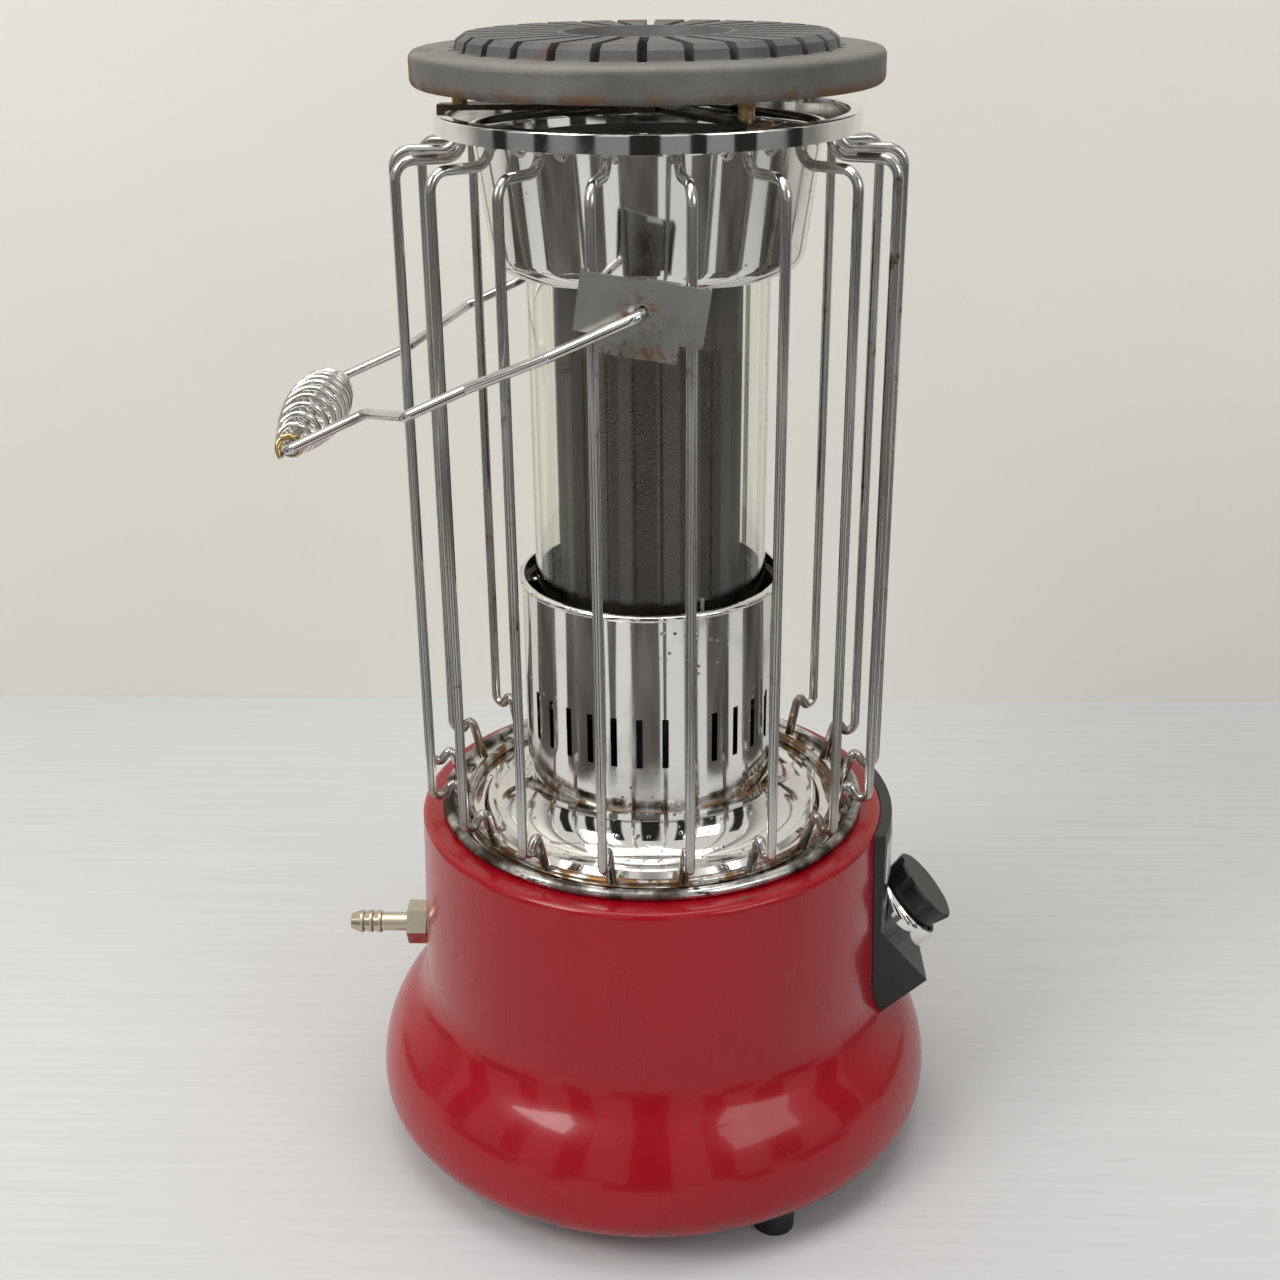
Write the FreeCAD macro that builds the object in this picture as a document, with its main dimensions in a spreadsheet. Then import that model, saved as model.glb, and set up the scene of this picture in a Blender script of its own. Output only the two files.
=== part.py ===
"""Portable propane heater: a guarded radiant burner on a round pressed base.

The origin is on the burner's axis at floor level, +Z is up. The control panel
faces -Y, the gas inlet faces +Y and the pivots of the carrying bail lie on X.
"""
import FreeCAD, Part
import math
import os
import Sketcher

Vector = FreeCAD.Vector
Rotation = FreeCAD.Rotation
Placement = FreeCAD.Placement

# Driving dimensions in millimetres, angles in degrees
SIZES = {
    # Body
    "sheet_metal": 1.2,
    "body_height": 160.0,
    "wall_top_radius": 102.1,
    "wall_foot_radius": 104.5,
    "wall_foot_height": 81.0,
    "shoulder_radius": 112.2,
    "shoulder_height": 63.3,
    "flange_radius": 126.9,
    "top_bend": 3.0,
    "fillet_bend": 26.0,
    "dome_bend": 50.0,
    "flange_roll": 13.0,
    "ledge_radius": 88.0,
    "lip_radius": 97.0,
    "cutout_width": 52.0,
    "cutout_bottom": 78.0,
    "cutout_top": 129.0,
    # Fits
    "clearance": 0.2,
    "seat_gap": 0.1,
    "hole_clearance": 0.2,
    # Feet
    "foot_count": 3,
    "foot_angle": 30.0,
    "foot_inset": 18.9,
    "foot_height": 13.3,
    "foot_top_radius": 9.3,
    "foot_tip_radius": 8.6,
    "foot_recess_radius": 5.2,
    "foot_recess_depth": 6.0,
    "foot_screw_radius": 2.0,
    "foot_screw_head": 4.0,
    "foot_head_height": 2.4,
    "nut_height": 3.0,
    # Tray
    "tray_sheet": 1.0,
    "tray_rim": 2.3,
    "ridge_radius": 72.0,
    "ridge_width": 6.0,
    "ridge_height": 2.5,
    "neck_bend": 18.0,
    "neck_height": 11.0,
    "neck_radius": 53.4,
    # Burner
    "collar_sheet": 0.8,
    "collar_bottom": 26.0,
    "collar_height": 82.0,
    "collar_bead": 1.4,
    "slot_count": 32,
    "slot_width": 2.7,
    "slot_bottom": 40.4,
    "slot_height": 22.0,
    "collar_screw_drop": 9.4,
    "collar_screw_angle": 18.7,
    "collar_screw_radius": 1.5,
    "collar_screw_head": 3.2,
    "bowl_sheet": 1.0,
    "bowl_lap": 3.4,
    "bowl_draft": 1.5,
    "glass_shelf": 80.0,
    "shelf_radius": 45.6,
    "mesh_step": 6.0,
    "mesh_radius": 37.7,
    "mesh_sheet": 0.6,
    "mesh_height": 156.0,
    "cap_sheet": 1.0,
    "cap_skirt": 4.0,
    "glass_radius": 48.5,
    "glass_wall": 2.2,
    "glass_height": 164.0,
    # Reflector
    "cup_sheet": 1.0,
    "cup_bottom": 236.0,
    "cup_opening": 50.5,
    "cup_floor_radius": 53.0,
    "cup_bend": 9.0,
    "cup_waist_radius": 61.9,
    "cup_waist_height": 7.8,
    "cup_mouth_radius": 67.5,
    "cup_mouth_height": 50.5,
    "brim_bend": 3.0,
    "brim_radius": 80.4,
    "ring_sheet": 1.5,
    "ring_height": 6.5,
    "ring_lip": 3.2,
    "seat_sheet": 0.8,
    "seat_height": 48.0,
    # Grate
    "arm_count": 3,
    "arm_angle": -90.0,
    "arm_width": 10.0,
    "arm_sheet": 2.0,
    "hub_radius": 16.0,
    "post_circle": 72.0,
    "post_radius": 3.0,
    "grate_gap": 7.5,
    "grate_radius": 90.0,
    "grate_rim": 13.0,
    "grate_rim_width": 10.0,
    "grate_web": 6.0,
    "grate_edge": 3.0,
    "crown_inner": 30.0,
    "crown_outer": 73.0,
    "crown_height": 5.5,
    "crown_chamfer": 2.0,
    "grate_slot_count": 28,
    "grate_slot_width": 3.5,
    "grate_slot_inner": 34.0,
    "grate_slot_outer": 75.0,
    # Guard
    "guard_wire": 4.0,
    "guard_bars": 18,
    "guard_radius": 99.0,
    "guard_top": 281.0,
    "guard_stub_radius": 73.0,
    "guard_stub_bend": 5.0,
    "guard_shoulder_bend": 6.0,
    "guard_heel_radius": 95.5,
    "guard_heel_height": 16.8,
    "guard_heel_rise": 3.8,
    "guard_heel_run": 3.0,
    "guard_toe_radius": 89.8,
    "guard_toe_height": 19.9,
    "hoop_radius": 81.5,
    # Bail
    "pivot_height": 239.0,
    "bracket_sheet": 1.2,
    "bracket_width": 45.4,
    "bracket_height": 20.6,
    "bracket_tilt": 8.8,
    "bracket_flange": 4.0,
    "bracket_drop": 9.6,
    "bracket_lip": 12.0,
    "tongue_width": 29.0,
    "tongue_height": 6.6,
    "pivot_play": 0.5,
    "bail_wire_size": 4.0,
    "bail_reach": 152.0,
    "bail_hang": 24.4,
    "bail_pivot_offset": 105.7,
    "bail_waist_offset": 94.5,
    "bail_neck_offset": 54.0,
    "bail_grip_offset": 56.5,
    "bail_bend": 4.0,
    "bail_bow": 1.7,
    "bail_bow_share": 0.23,
    "bail_waist_start": 0.45,
    "bail_waist_end": 0.61,
    "bail_neck_share": 0.77,
    "bail_head": 3.4,
    "bail_head_height": 1.6,
    "coil_wire": 2.4,
    "coil_turns": 14,
    "coil_length": 104.0,
    "coil_radius": 11.6,
    "coil_near_pitch": 11.0,
    "coil_far_pitch": 5.0,
    # Gas inlet
    "inlet_height": 92.0,
    "hex_across": 17.5,
    "hex_length": 9.0,
    "thread_radius": 6.0,
    "inlet_neck": 4.3,
    "inlet_neck_length": 9.7,
    "barb_radius": 5.25,
    "barb_count": 3,
    "barb_pitch": 4.2,
    "barb_land": 1.0,
    "barb_undercut": 0.5,
    "inlet_nose": 4.6,
    "inlet_bore": 2.5,
    "inlet_nut_thick": 4.6,
    "inlet_nut_gap": 0.6,
    "inlet_thread_rest": 2.0,
    # Gas train
    "pipe_radius": 3.0,
    "pipe_bend": 9.0,
    "tube_radius": 12.2,
    "tube_wall": 1.0,
    "tube_bottom": 100.0,
    "tube_flare": 3.3,
    "tube_rise": 5.0,
    "injector_radius": 7.0,
    "injector_bottom": 60.0,
    "injector_height": 23.0,
    "nozzle_radius": 3.0,
    "nozzle_height": 9.0,
    "electrode_circle": 43.0,
    "ceramic_radius": 2.0,
    "ceramic_bottom": 70.0,
    "ceramic_height": 32.0,
    "electrode_tip": 7.0,
    "electrode_wire": 0.8,
    "lead_radius": 1.5,
    # Controls, measured along the knob's axis from the panel's slope
    "knob_out": 109.7,
    "knob_height": 100.2,
    "knob_lean": 48.8,
    "panel_width": 68.0,
    "panel_radius": 107.0,
    "panel_drop": 2.0,
    "panel_wall": 3.0,
    "wedge_bottom": 65.0,
    "wedge_reach": 20.2,
    "pocket_radius": 22.0,
    "pocket_wall": 2.5,
    "bezel_radius": 20.3,
    "bezel_top_radius": 18.8,
    "bezel_bore": 17.6,
    "bezel_height": 10.0,
    "knob_skirt": 17.0,
    "knob_gap": 4.2,
    "knob_skirt_height": 4.0,
    "knob_waist": 15.6,
    "knob_face": 17.5,
    "knob_length": 21.0,
    "knob_edge": 1.2,
    "flute_count": 8,
    "flute_radius": 4.0,
    "flute_depth": 1.4,
    "spindle_radius": 3.0,
    "spindle_reach": 38.0,
    "spindle_socket": 10.0,
    "valve_radius": 11.0,
    "valve_neck_radius": 8.0,
    "valve_neck_height": 7.5,
    "valve_length": 34.0,
    "valve_wall": 3.0,
    "rotor_play": 0.3,
    "bracket_plate_width": 46.0,
    "bracket_plate_depth": 20.0,
    "bracket_screw_spread": 18.0,
    "bracket_screw_radius": 1.5,
    "igniter_radius": 9.0,
    "igniter_length": 24.0,
    "face_plate_sheet": 0.6,
    "face_plate_width": 60.0,
    "face_plate_bottom": 132.0,
    "face_plate_height": 20.0,
}

doc = FreeCAD.newDocument("heater")
sheet = doc.addObject("Spreadsheet::Sheet", "Sizes")
for row, (alias, value) in enumerate(SIZES.items(), start=1):
    sheet.set(f"A{row}", alias)
    sheet.set(f"B{row}", str(value))
    sheet.setAlias(f"B{row}", alias)
doc.recompute()


class Size:
    """A number that carries the expression it was worked out with."""

    def __init__(self, value, text=None):
        self.value = float(value)
        self.text = text or repr(self.value)

    def join(self, other, sign, value):
        return Size(value, f"({self.text} {sign} {other.text})")

    def __float__(self):
        return self.value

    def __neg__(self):
        return Size(-self.value, f"(0 - {self.text})")

    def __add__(self, other):
        other = as_size(other)
        return self.join(other, "+", self.value + other.value)

    def __sub__(self, other):
        other = as_size(other)
        return self.join(other, "-", self.value - other.value)

    def __mul__(self, other):
        other = as_size(other)
        return self.join(other, "*", self.value * other.value)

    def __truediv__(self, other):
        other = as_size(other)
        return self.join(other, "/", self.value / other.value)

    def __radd__(self, other):
        return as_size(other) + self

    def __rsub__(self, other):
        return as_size(other) - self

    def __rmul__(self, other):
        return as_size(other) * self


def as_size(number):
    return number if isinstance(number, Size) else Size(number)


def cos(angle):
    return Size(math.cos(math.radians(float(angle))), f"cos({as_size(angle).text})")


def sin(angle):
    return Size(math.sin(math.radians(float(angle))), f"sin({as_size(angle).text})")


class Sheet:
    """Reads a size from the spreadsheet by its alias."""

    def __getattr__(self, alias):
        return Size(sheet.get(alias), f"Sizes.{alias}")


size = Sheet()
parts = []


def bind(thing, target, number):
    """Ties a property or constraint to the sheet, where the sheet drives it."""
    if "Sizes." in number.text:
        thing.setExpression(target, number.text)


def datum(body, role):
    return next(item for item in body.Origin.OriginFeatures if item.Role == role)


def new_body(label):
    body = doc.addObject("PartDesign::Body", label)
    body.Label = label
    parts.append(body)
    return body


def place(thing, base=(0, 0, 0), axis=Vector(0, 0, 1), angle=0):
    """Puts an object at a point, turned about an axis, bound to the sheet."""
    base = [as_size(number) for number in base]
    angle = as_size(angle)
    turn = Rotation(axis, angle.value)
    thing.Placement = Placement(Vector(*[number.value for number in base]), turn)
    for letter, number in zip("xyz", base):
        bind(thing, f"Placement.Base.{letter}", number)
    bind(thing, "Placement.Rotation.Angle", angle)
    return thing


def new_sketch(body, name, plane, offset=0):
    sketch = body.newObject("Sketcher::SketchObject", name)
    sketch.AttachmentSupport = [(datum(body, plane), "")]
    sketch.MapMode = "FlatFace"
    offset = as_size(offset)
    sketch.AttachmentOffset = Placement(Vector(0, 0, offset.value), Rotation())
    bind(sketch, "AttachmentOffset.Base.z", offset)
    return sketch


def fix_point(sketch, geometry, end, x, y):
    for kind, number in (("DistanceX", x), ("DistanceY", y)):
        row = sketch.addConstraint(Sketcher.Constraint(kind, geometry, end, number.value))
        bind(sketch, f"Constraints[{row}]", number)


def arc_between(start, end, radius):
    """The short arc from start to end, its centre on the left for a positive radius."""
    chord = end - start
    height = math.sqrt(max(radius * radius - chord.Length ** 2 / 4, 0))
    left = Vector(-chord.y, chord.x, 0).normalize()
    centre = (start + end) / 2 + left * math.copysign(height, radius)
    first, last = (start, end) if radius > 0 else (end, start)
    angles = [math.atan2(point.y - centre.y, point.x - centre.x) for point in (first, last)]
    circle = Part.Circle(centre, Vector(0, 0, 1), abs(radius))
    return Part.ArcOfCircle(circle, angles[0], angles[1])


def outline(sketch, corners):
    """Draws a closed outline; a corner's third entry is the radius of the arc that ends there."""
    corners = [[as_size(number) for number in corner] for corner in corners]
    points = [Vector(corner[0].value, corner[1].value, 0) for corner in corners]
    ends = []
    for index, corner in enumerate(corners):
        start = points[index - 1]
        end = points[index]
        if len(corner) == 2:
            number = sketch.addGeometry(Part.LineSegment(start, end))
            ends.append((number, 1, 2))
            continue
        radius = corner[2]
        number = sketch.addGeometry(arc_between(start, end, radius.value))
        turn = 1 if radius.value > 0 else -1
        ends.append((number, 1, 2) if turn > 0 else (number, 2, 1))
        row = sketch.addConstraint(Sketcher.Constraint("Radius", number, abs(radius.value)))
        bind(sketch, f"Constraints[{row}]", radius if turn > 0 else -radius)
    for index, (number, first, last) in enumerate(ends):
        following, entry, _ = ends[(index + 1) % len(ends)]
        sketch.addConstraint(Sketcher.Constraint("Coincident", number, last, following, entry))
        fix_point(sketch, number, last, corners[index][0], corners[index][1])


def circle(sketch, x, y, radius):
    x, y, radius = as_size(x), as_size(y), as_size(radius)
    shape = Part.Circle(Vector(x.value, y.value, 0), Vector(0, 0, 1), radius.value)
    number = sketch.addGeometry(shape)
    fix_point(sketch, number, 3, x, y)
    row = sketch.addConstraint(Sketcher.Constraint("Radius", number, radius.value))
    bind(sketch, f"Constraints[{row}]", radius)


def rectangle(sketch, left, bottom, right, top):
    outline(sketch, [(left, bottom), (right, bottom), (right, top), (left, top)])


def open_path(sketch, points):
    """Draws straight runs from point to point."""
    points = [[as_size(number) for number in point] for point in points]
    places = [Vector(point[0].value, point[1].value, 0) for point in points]
    lines = [sketch.addGeometry(Part.LineSegment(a, b)) for a, b in zip(places, places[1:])]
    for before, after in zip(lines, lines[1:]):
        sketch.addConstraint(Sketcher.Constraint("Coincident", before, 2, after, 1))
    fix_point(sketch, lines[0], 1, *points[0])
    for line, point in zip(lines, points[1:]):
        fix_point(sketch, line, 2, *point)


def revolve(label, corners):
    """Turns an outline of radius and height corners once round the Z axis."""
    body = new_body(label)
    sketch = new_sketch(body, f"{label}_profile", "XZ_Plane")
    outline(sketch, corners)
    turned = body.newObject("PartDesign::Revolution", f"{label}_turned")
    turned.Profile = sketch
    turned.ReferenceAxis = (sketch, ["V_Axis"])
    turned.Angle = 360
    body.Tip = turned
    return body


def pad(body, name, plane, draw, length, offset=0, backwards=False):
    sketch = new_sketch(body, f"{name}_sketch", plane, offset)
    draw(sketch)
    feature = body.newObject("PartDesign::Pad", name)
    feature.Profile = sketch
    length = as_size(length)
    feature.Length = length.value
    bind(feature, "Length", length)
    feature.Reversed = backwards
    body.Tip = feature
    return feature


def pocket(body, name, plane, draw, length, offset=0, backwards=False, copies=None):
    """Cuts a pocket, repeats it round Z, and checks that it took material away."""
    doc.recompute()
    before = body.Shape.Volume
    sketch = new_sketch(body, f"{name}_sketch", plane, offset)
    draw(sketch)
    feature = body.newObject("PartDesign::Pocket", name)
    feature.Profile = sketch
    length = as_size(length)
    feature.Length = length.value
    bind(feature, "Length", length)
    feature.Reversed = backwards
    body.Tip = feature
    if copies is not None:
        repeat(body, name, feature, copies)
    doc.recompute()
    if not body.Shape.Volume < before:
        raise RuntimeError(f"{name} cut nothing")
    return feature


def repeat(body, name, feature, copies):
    pattern = body.newObject("PartDesign::PolarPattern", f"{name}_pattern")
    pattern.Originals = [feature]
    pattern.Axis = (datum(body, "Z_Axis"), [""])
    pattern.Angle = 360
    pattern.Occurrences = int(copies.value)
    bind(pattern, "Occurrences", copies)
    body.Tip = pattern


def feature(label, shape):
    thing = doc.addObject("Part::Feature", label)
    thing.Label = label
    thing.Shape = shape
    parts.append(thing)
    return thing


def primitive(kind, name, **numbers):
    thing = doc.addObject(f"Part::{kind}", name)
    for key, number in numbers.items():
        number = as_size(number)
        setattr(thing, key, number.value)
        bind(thing, key, number)
    return thing


def combine(kind, name, base, tool):
    thing = doc.addObject(f"Part::{kind}", name)
    thing.Base = base
    thing.Tool = tool
    thing.Label = name
    return thing


def bent_wire(points, radius):
    """Straight runs through the points, joined by tangent arcs of one radius."""
    edges = []
    last = points[0]
    for before, corner, after in zip(points, points[1:], points[2:]):
        back = (before - corner).normalize()
        ahead = (after - corner).normalize()
        half = back.getAngle(ahead) / 2
        reach = radius / math.tan(half)
        centre = corner + (back + ahead).normalize() * (radius / math.sin(half))
        entry = corner + back * reach
        leave = corner + ahead * reach
        middle = centre + (corner - centre).normalize() * radius
        edges.append(Part.LineSegment(last, entry).toShape())
        edges.append(Part.Arc(entry, middle, leave).toShape())
        last = leave
    edges.append(Part.LineSegment(last, points[-1]).toShape())
    return Part.Wire(edges)


def tube(path, start, direction, radius, bore=0):
    """Sweeps a round section along a path; a bore makes it a pipe."""
    sections = []
    for size_of in (radius, bore):
        if size_of > 0:
            ring = Part.Wire(Part.Circle(start, direction, size_of).toShape())
            sections.append(path.makePipeShell([ring], True, False))
    return sections[0] if len(sections) == 1 else sections[0].cut(sections[1])


def round_bar(start, direction, radius, length):
    return Part.makeCylinder(radius, length, start, direction)


def wall_radius(height):
    """Outer radius of the body's wall at a height."""
    climb = (height - size.wall_foot_height) / (size.body_height - size.wall_foot_height)
    return size.wall_foot_radius + (size.wall_top_radius - size.wall_foot_radius) * climb


def on_circle(radius, angle):
    """Plan position: angle 0 is on -X, 90 is on -Y."""
    return -(radius * cos(angle)), -(radius * sin(angle))


def knob_point(along, across=0, side=0):
    """A point by its distance along the knob's axis, up the slope and to +X."""
    out = size.knob_out + along * sin(size.knob_lean) - across * cos(size.knob_lean)
    height = size.knob_height + along * cos(size.knob_lean) + across * sin(size.knob_lean)
    return side, -out, height


def place_on_knob_axis(thing):
    return place(thing, knob_point(as_size(0)), Vector(1, 0, 0), size.knob_lean)


# Corners inside the body that pipe and lead go round
SUPPLY_ROUTE = [(-48, 52, 62), (-50, -58, 60)]
LEAD_CORNER = (-24, -38, 52)

# Heights that several pieces share; those above the body are given from its top edge
FOOT_CIRCLE = size.flange_radius - size.foot_inset
COLLAR_BOTTOM = size.body_height + size.collar_bottom
SLOT_BOTTOM = size.body_height + size.slot_bottom
GLASS_SHELF = size.body_height + size.glass_shelf
CUP_BOTTOM = size.body_height + size.cup_bottom
GUARD_TOP = size.body_height + size.guard_top
GUARD_HEEL = size.body_height + size.guard_heel_height
GUARD_TOE = size.body_height + size.guard_toe_height
PIVOT = size.body_height + size.pivot_height
CERAMIC_BOTTOM = size.body_height + size.ceramic_bottom
PANEL_TOP = size.body_height - size.panel_drop
GUARD_HALF = size.guard_wire / 2
LIP_TOP = size.foot_height + size.sheet_metal
PLATE_TOP = LIP_TOP + size.sheet_metal
COLLAR_INNER = size.neck_radius + size.clearance
COLLAR_OUTER = COLLAR_INNER + size.collar_sheet
COLLAR_TOP = COLLAR_BOTTOM + size.collar_height
COLLAR_SCREW = COLLAR_TOP - size.collar_screw_drop
BOWL_RIM = COLLAR_SCREW + size.bowl_lap
MESH_FOOT = GLASS_SHELF + size.mesh_step
MESH_TOP = MESH_FOOT + size.mesh_height
CUP_FLOOR = CUP_BOTTOM + size.cup_sheet
BRIM = CUP_BOTTOM + size.cup_mouth_height + size.brim_bend
BRIM_TOP = BRIM + size.cup_sheet
RING_TOP = BRIM + size.ring_height
SPIDER_TOP = RING_TOP + size.arm_sheet
GRATE_BOTTOM = SPIDER_TOP + size.grate_gap
BRACKET_FACE = size.guard_radius * cos(Size(180) / size.guard_bars) + GUARD_HALF + size.seat_gap
WALL_AT_INLET = wall_radius(size.inlet_height)


def shell_outside(gap):
    """Outer profile of the body from the top edge to the rolled flange."""
    return [
        (size.wall_top_radius - size.top_bend + gap, size.body_height),
        (size.wall_top_radius + gap, size.body_height - size.top_bend, -size.top_bend),
        (size.wall_foot_radius + gap, size.wall_foot_height),
        (size.shoulder_radius + gap, size.shoulder_height, size.fillet_bend),
        (size.flange_radius + gap, size.foot_height + size.flange_roll, -size.dome_bend),
        (size.flange_radius - size.flange_roll + gap, size.foot_height, -size.flange_roll),
    ]


def make_base_shell():
    gauge = size.sheet_metal
    belt = size.foot_height + size.flange_roll
    body = revolve("base_shell", shell_outside(0) + [
        (size.lip_radius, size.foot_height),
        (size.lip_radius, LIP_TOP),
        (size.flange_radius - size.flange_roll, LIP_TOP),
        (size.flange_radius - gauge, belt, size.flange_roll - gauge),
        (size.shoulder_radius - 0.7 * gauge, size.shoulder_height - 0.7 * gauge, size.dome_bend - gauge),
        (size.wall_foot_radius - gauge, size.wall_foot_height, -(size.fillet_bend + gauge)),
        (size.wall_top_radius - gauge, size.body_height - gauge),
        (size.ledge_radius, size.body_height - gauge),
        (size.ledge_radius, size.body_height),
    ])
    half = size.cutout_width / 2
    pocket(body, "panel_cutout", "XZ_Plane",
           lambda s: rectangle(s, -half, size.cutout_bottom, half, size.cutout_top),
           size.flange_radius, backwards=True)
    pocket(body, "inlet_hole", "XZ_Plane",
           lambda s: circle(s, 0, size.inlet_height, size.thread_radius + size.hole_clearance),
           size.flange_radius)
    drill_foot_holes(body)
    return body


def drill_foot_holes(body):
    x, y = on_circle(FOOT_CIRCLE, size.foot_angle)
    hole = size.foot_screw_radius + size.hole_clearance
    pocket(body, f"{body.Label}_screw_hole", "XY_Plane", lambda s: circle(s, x, y, hole),
           PLATE_TOP + 1, offset=PLATE_TOP + 1, copies=size.foot_count)


def make_base_plate():
    rim = size.flange_radius - size.flange_roll - 1
    body = revolve("base_plate", [
        (0, LIP_TOP), (rim, LIP_TOP), (rim, PLATE_TOP), (0, PLATE_TOP),
    ])
    drill_foot_holes(body)


def make_feet():
    head_seat = size.foot_recess_depth
    bore = size.foot_screw_radius + size.hole_clearance
    step = Size(360) / size.foot_count
    for number in range(int(size.foot_count.value)):
        body = revolve(f"foot_{number + 1}", [
            (size.foot_recess_radius, 0), (size.foot_tip_radius, 0),
            (size.foot_top_radius, size.foot_height), (bore, size.foot_height),
            (bore, head_seat), (size.foot_recess_radius, head_seat),
        ])
        angle = size.foot_angle + step * number
        place(body, (*on_circle(FOOT_CIRCLE, angle), 0))


def make_foot_screws():
    screws = []
    head_bottom = (size.foot_recess_depth - size.foot_head_height).value
    top = (PLATE_TOP + size.nut_height).value
    step = 360 / size.foot_count.value
    for number in range(int(size.foot_count.value)):
        x, y = on_circle(FOOT_CIRCLE, size.foot_angle + step * number)
        foot = Vector(x.value, y.value, head_bottom)
        up = Vector(0, 0, 1)
        shank = round_bar(foot, up, size.foot_screw_radius.value, top - head_bottom)
        head = round_bar(foot, up, size.foot_screw_head.value, size.foot_head_height.value)
        seat = Vector(x.value, y.value, PLATE_TOP.value)
        nut = round_bar(seat, up, size.foot_screw_head.value, size.nut_height.value)
        screws.append(shank.fuse([head, nut]))
    feature("foot_screws", Part.makeCompound(screws))


def make_tray():
    rim_middle = size.ledge_radius + size.tray_rim + 0.6
    floor = size.body_height
    under = floor - size.tray_sheet
    wall = size.ledge_radius - size.clearance
    ridge_in = size.ridge_radius - size.ridge_width / 2
    ridge_out = size.ridge_radius + size.ridge_width / 2
    bend_centre = size.neck_radius + size.neck_bend
    neck_foot = floor + size.neck_bend + 1
    neck_top = neck_foot + size.neck_height
    revolve("tray", [
        (rim_middle, floor),
        (rim_middle + size.tray_rim, floor + size.tray_rim, size.tray_rim),
        (rim_middle, floor + 2 * size.tray_rim, size.tray_rim),
        (rim_middle - size.tray_rim, floor + size.tray_rim, size.tray_rim),
        (wall - size.tray_rim, floor),
        (ridge_out, floor),
        (size.ridge_radius + 1, floor + size.ridge_height),
        (size.ridge_radius - 1, floor + size.ridge_height),
        (bend_centre - 2, floor + 1 + size.neck_bend * (1 - cos(6.5))),
        (size.neck_radius, neck_foot, -size.neck_bend),
        (size.neck_radius, neck_top),
        (size.neck_radius - size.tray_sheet, neck_top),
        (size.neck_radius - size.tray_sheet, neck_foot),
        (ridge_in, under + 1, size.neck_bend + size.tray_sheet),
        (size.ridge_radius - 1, under + size.ridge_height),
        (size.ridge_radius + 1, under + size.ridge_height),
        (ridge_out - 0.4, under),
        (wall, under),
        (wall, floor),
    ])


def make_guard_hoop():
    hoop = primitive("Torus", "guard_hoop", Radius1=size.hoop_radius, Radius2=GUARD_HALF)
    hoop.Label = "guard_hoop"
    place(hoop, (0, 0, size.body_height + GUARD_HALF))
    parts.append(hoop)


def drill_collar_holes(body, reach):
    hole = size.collar_screw_radius + size.hole_clearance
    pocket(body, f"{body.Label}_screw_hole", "XZ_Plane",
           lambda s: circle(s, 0, COLLAR_SCREW, hole), reach, backwards=True, copies=Size(3))


def make_burner_collar():
    bead = size.collar_bead
    body = revolve("burner_collar", [
        (COLLAR_INNER, COLLAR_BOTTOM), (COLLAR_OUTER, COLLAR_BOTTOM),
        (COLLAR_OUTER, COLLAR_TOP - 2 * bead), (COLLAR_OUTER + bead, COLLAR_TOP - bead, bead),
        (COLLAR_OUTER, COLLAR_TOP, bead),
        (COLLAR_INNER, COLLAR_TOP),
    ])
    half = size.slot_width / 2
    pocket(body, "air_slot", "XZ_Plane",
           lambda s: rectangle(s, -half, SLOT_BOTTOM, half, SLOT_BOTTOM + size.slot_height),
           size.flange_radius, backwards=True, copies=size.slot_count)
    drill_collar_holes(body, size.flange_radius)
    turn = size.collar_screw_angle - 90
    place(body, (0, 0, 0), Vector(0, 0, 1), turn)


def make_collar_screws():
    screws = []
    for number in range(3):
        angle = math.radians(size.collar_screw_angle.value + 120 * number)
        out = Vector(-math.cos(angle), -math.sin(angle), 0)
        height = Vector(0, 0, COLLAR_SCREW.value)
        inner = COLLAR_INNER.value - size.bowl_sheet.value - 3
        shank = round_bar(out * inner + height, out, size.collar_screw_radius.value,
                          COLLAR_OUTER.value - inner + 0.5)
        head_radius = size.collar_screw_head.value
        dome = Part.makeSphere(head_radius, out * (COLLAR_OUTER.value - 1) + height)
        seat = round_bar(out * (COLLAR_OUTER.value + 0.1) + height, out, head_radius, head_radius)
        screws.append(shank.fuse(dome.common(seat)))
    feature("collar_screws", Part.makeCompound(screws))


def make_burner_bowl():
    gauge = size.bowl_sheet
    outer = size.neck_radius
    shelf = GLASS_SHELF
    hole = size.tube_radius + size.clearance / 2
    body = revolve("burner_bowl", [
        (outer - gauge, BOWL_RIM), (outer - gauge, shelf),
        (size.shelf_radius, shelf), (size.shelf_radius - size.bowl_draft, MESH_FOOT),
        (hole, MESH_FOOT), (hole, MESH_FOOT - gauge),
        (size.shelf_radius - size.bowl_draft - gauge, MESH_FOOT - gauge),
        (size.shelf_radius - gauge, shelf - gauge),
        (outer, shelf - gauge), (outer, BOWL_RIM),
    ])
    drill_collar_holes(body, size.flange_radius)
    place(body, (0, 0, 0), Vector(0, 0, 1), size.collar_screw_angle - 90)
    turn = size.foot_angle - size.collar_screw_angle
    hole_x = size.electrode_circle * sin(turn)
    hole_y = -(size.electrode_circle * cos(turn))
    pocket(body, "electrode_hole", "XY_Plane",
           lambda s: circle(s, hole_x, hole_y, size.ceramic_radius + size.hole_clearance),
           size.mesh_step + 2 * gauge + 1, offset=MESH_FOOT + 1)


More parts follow.
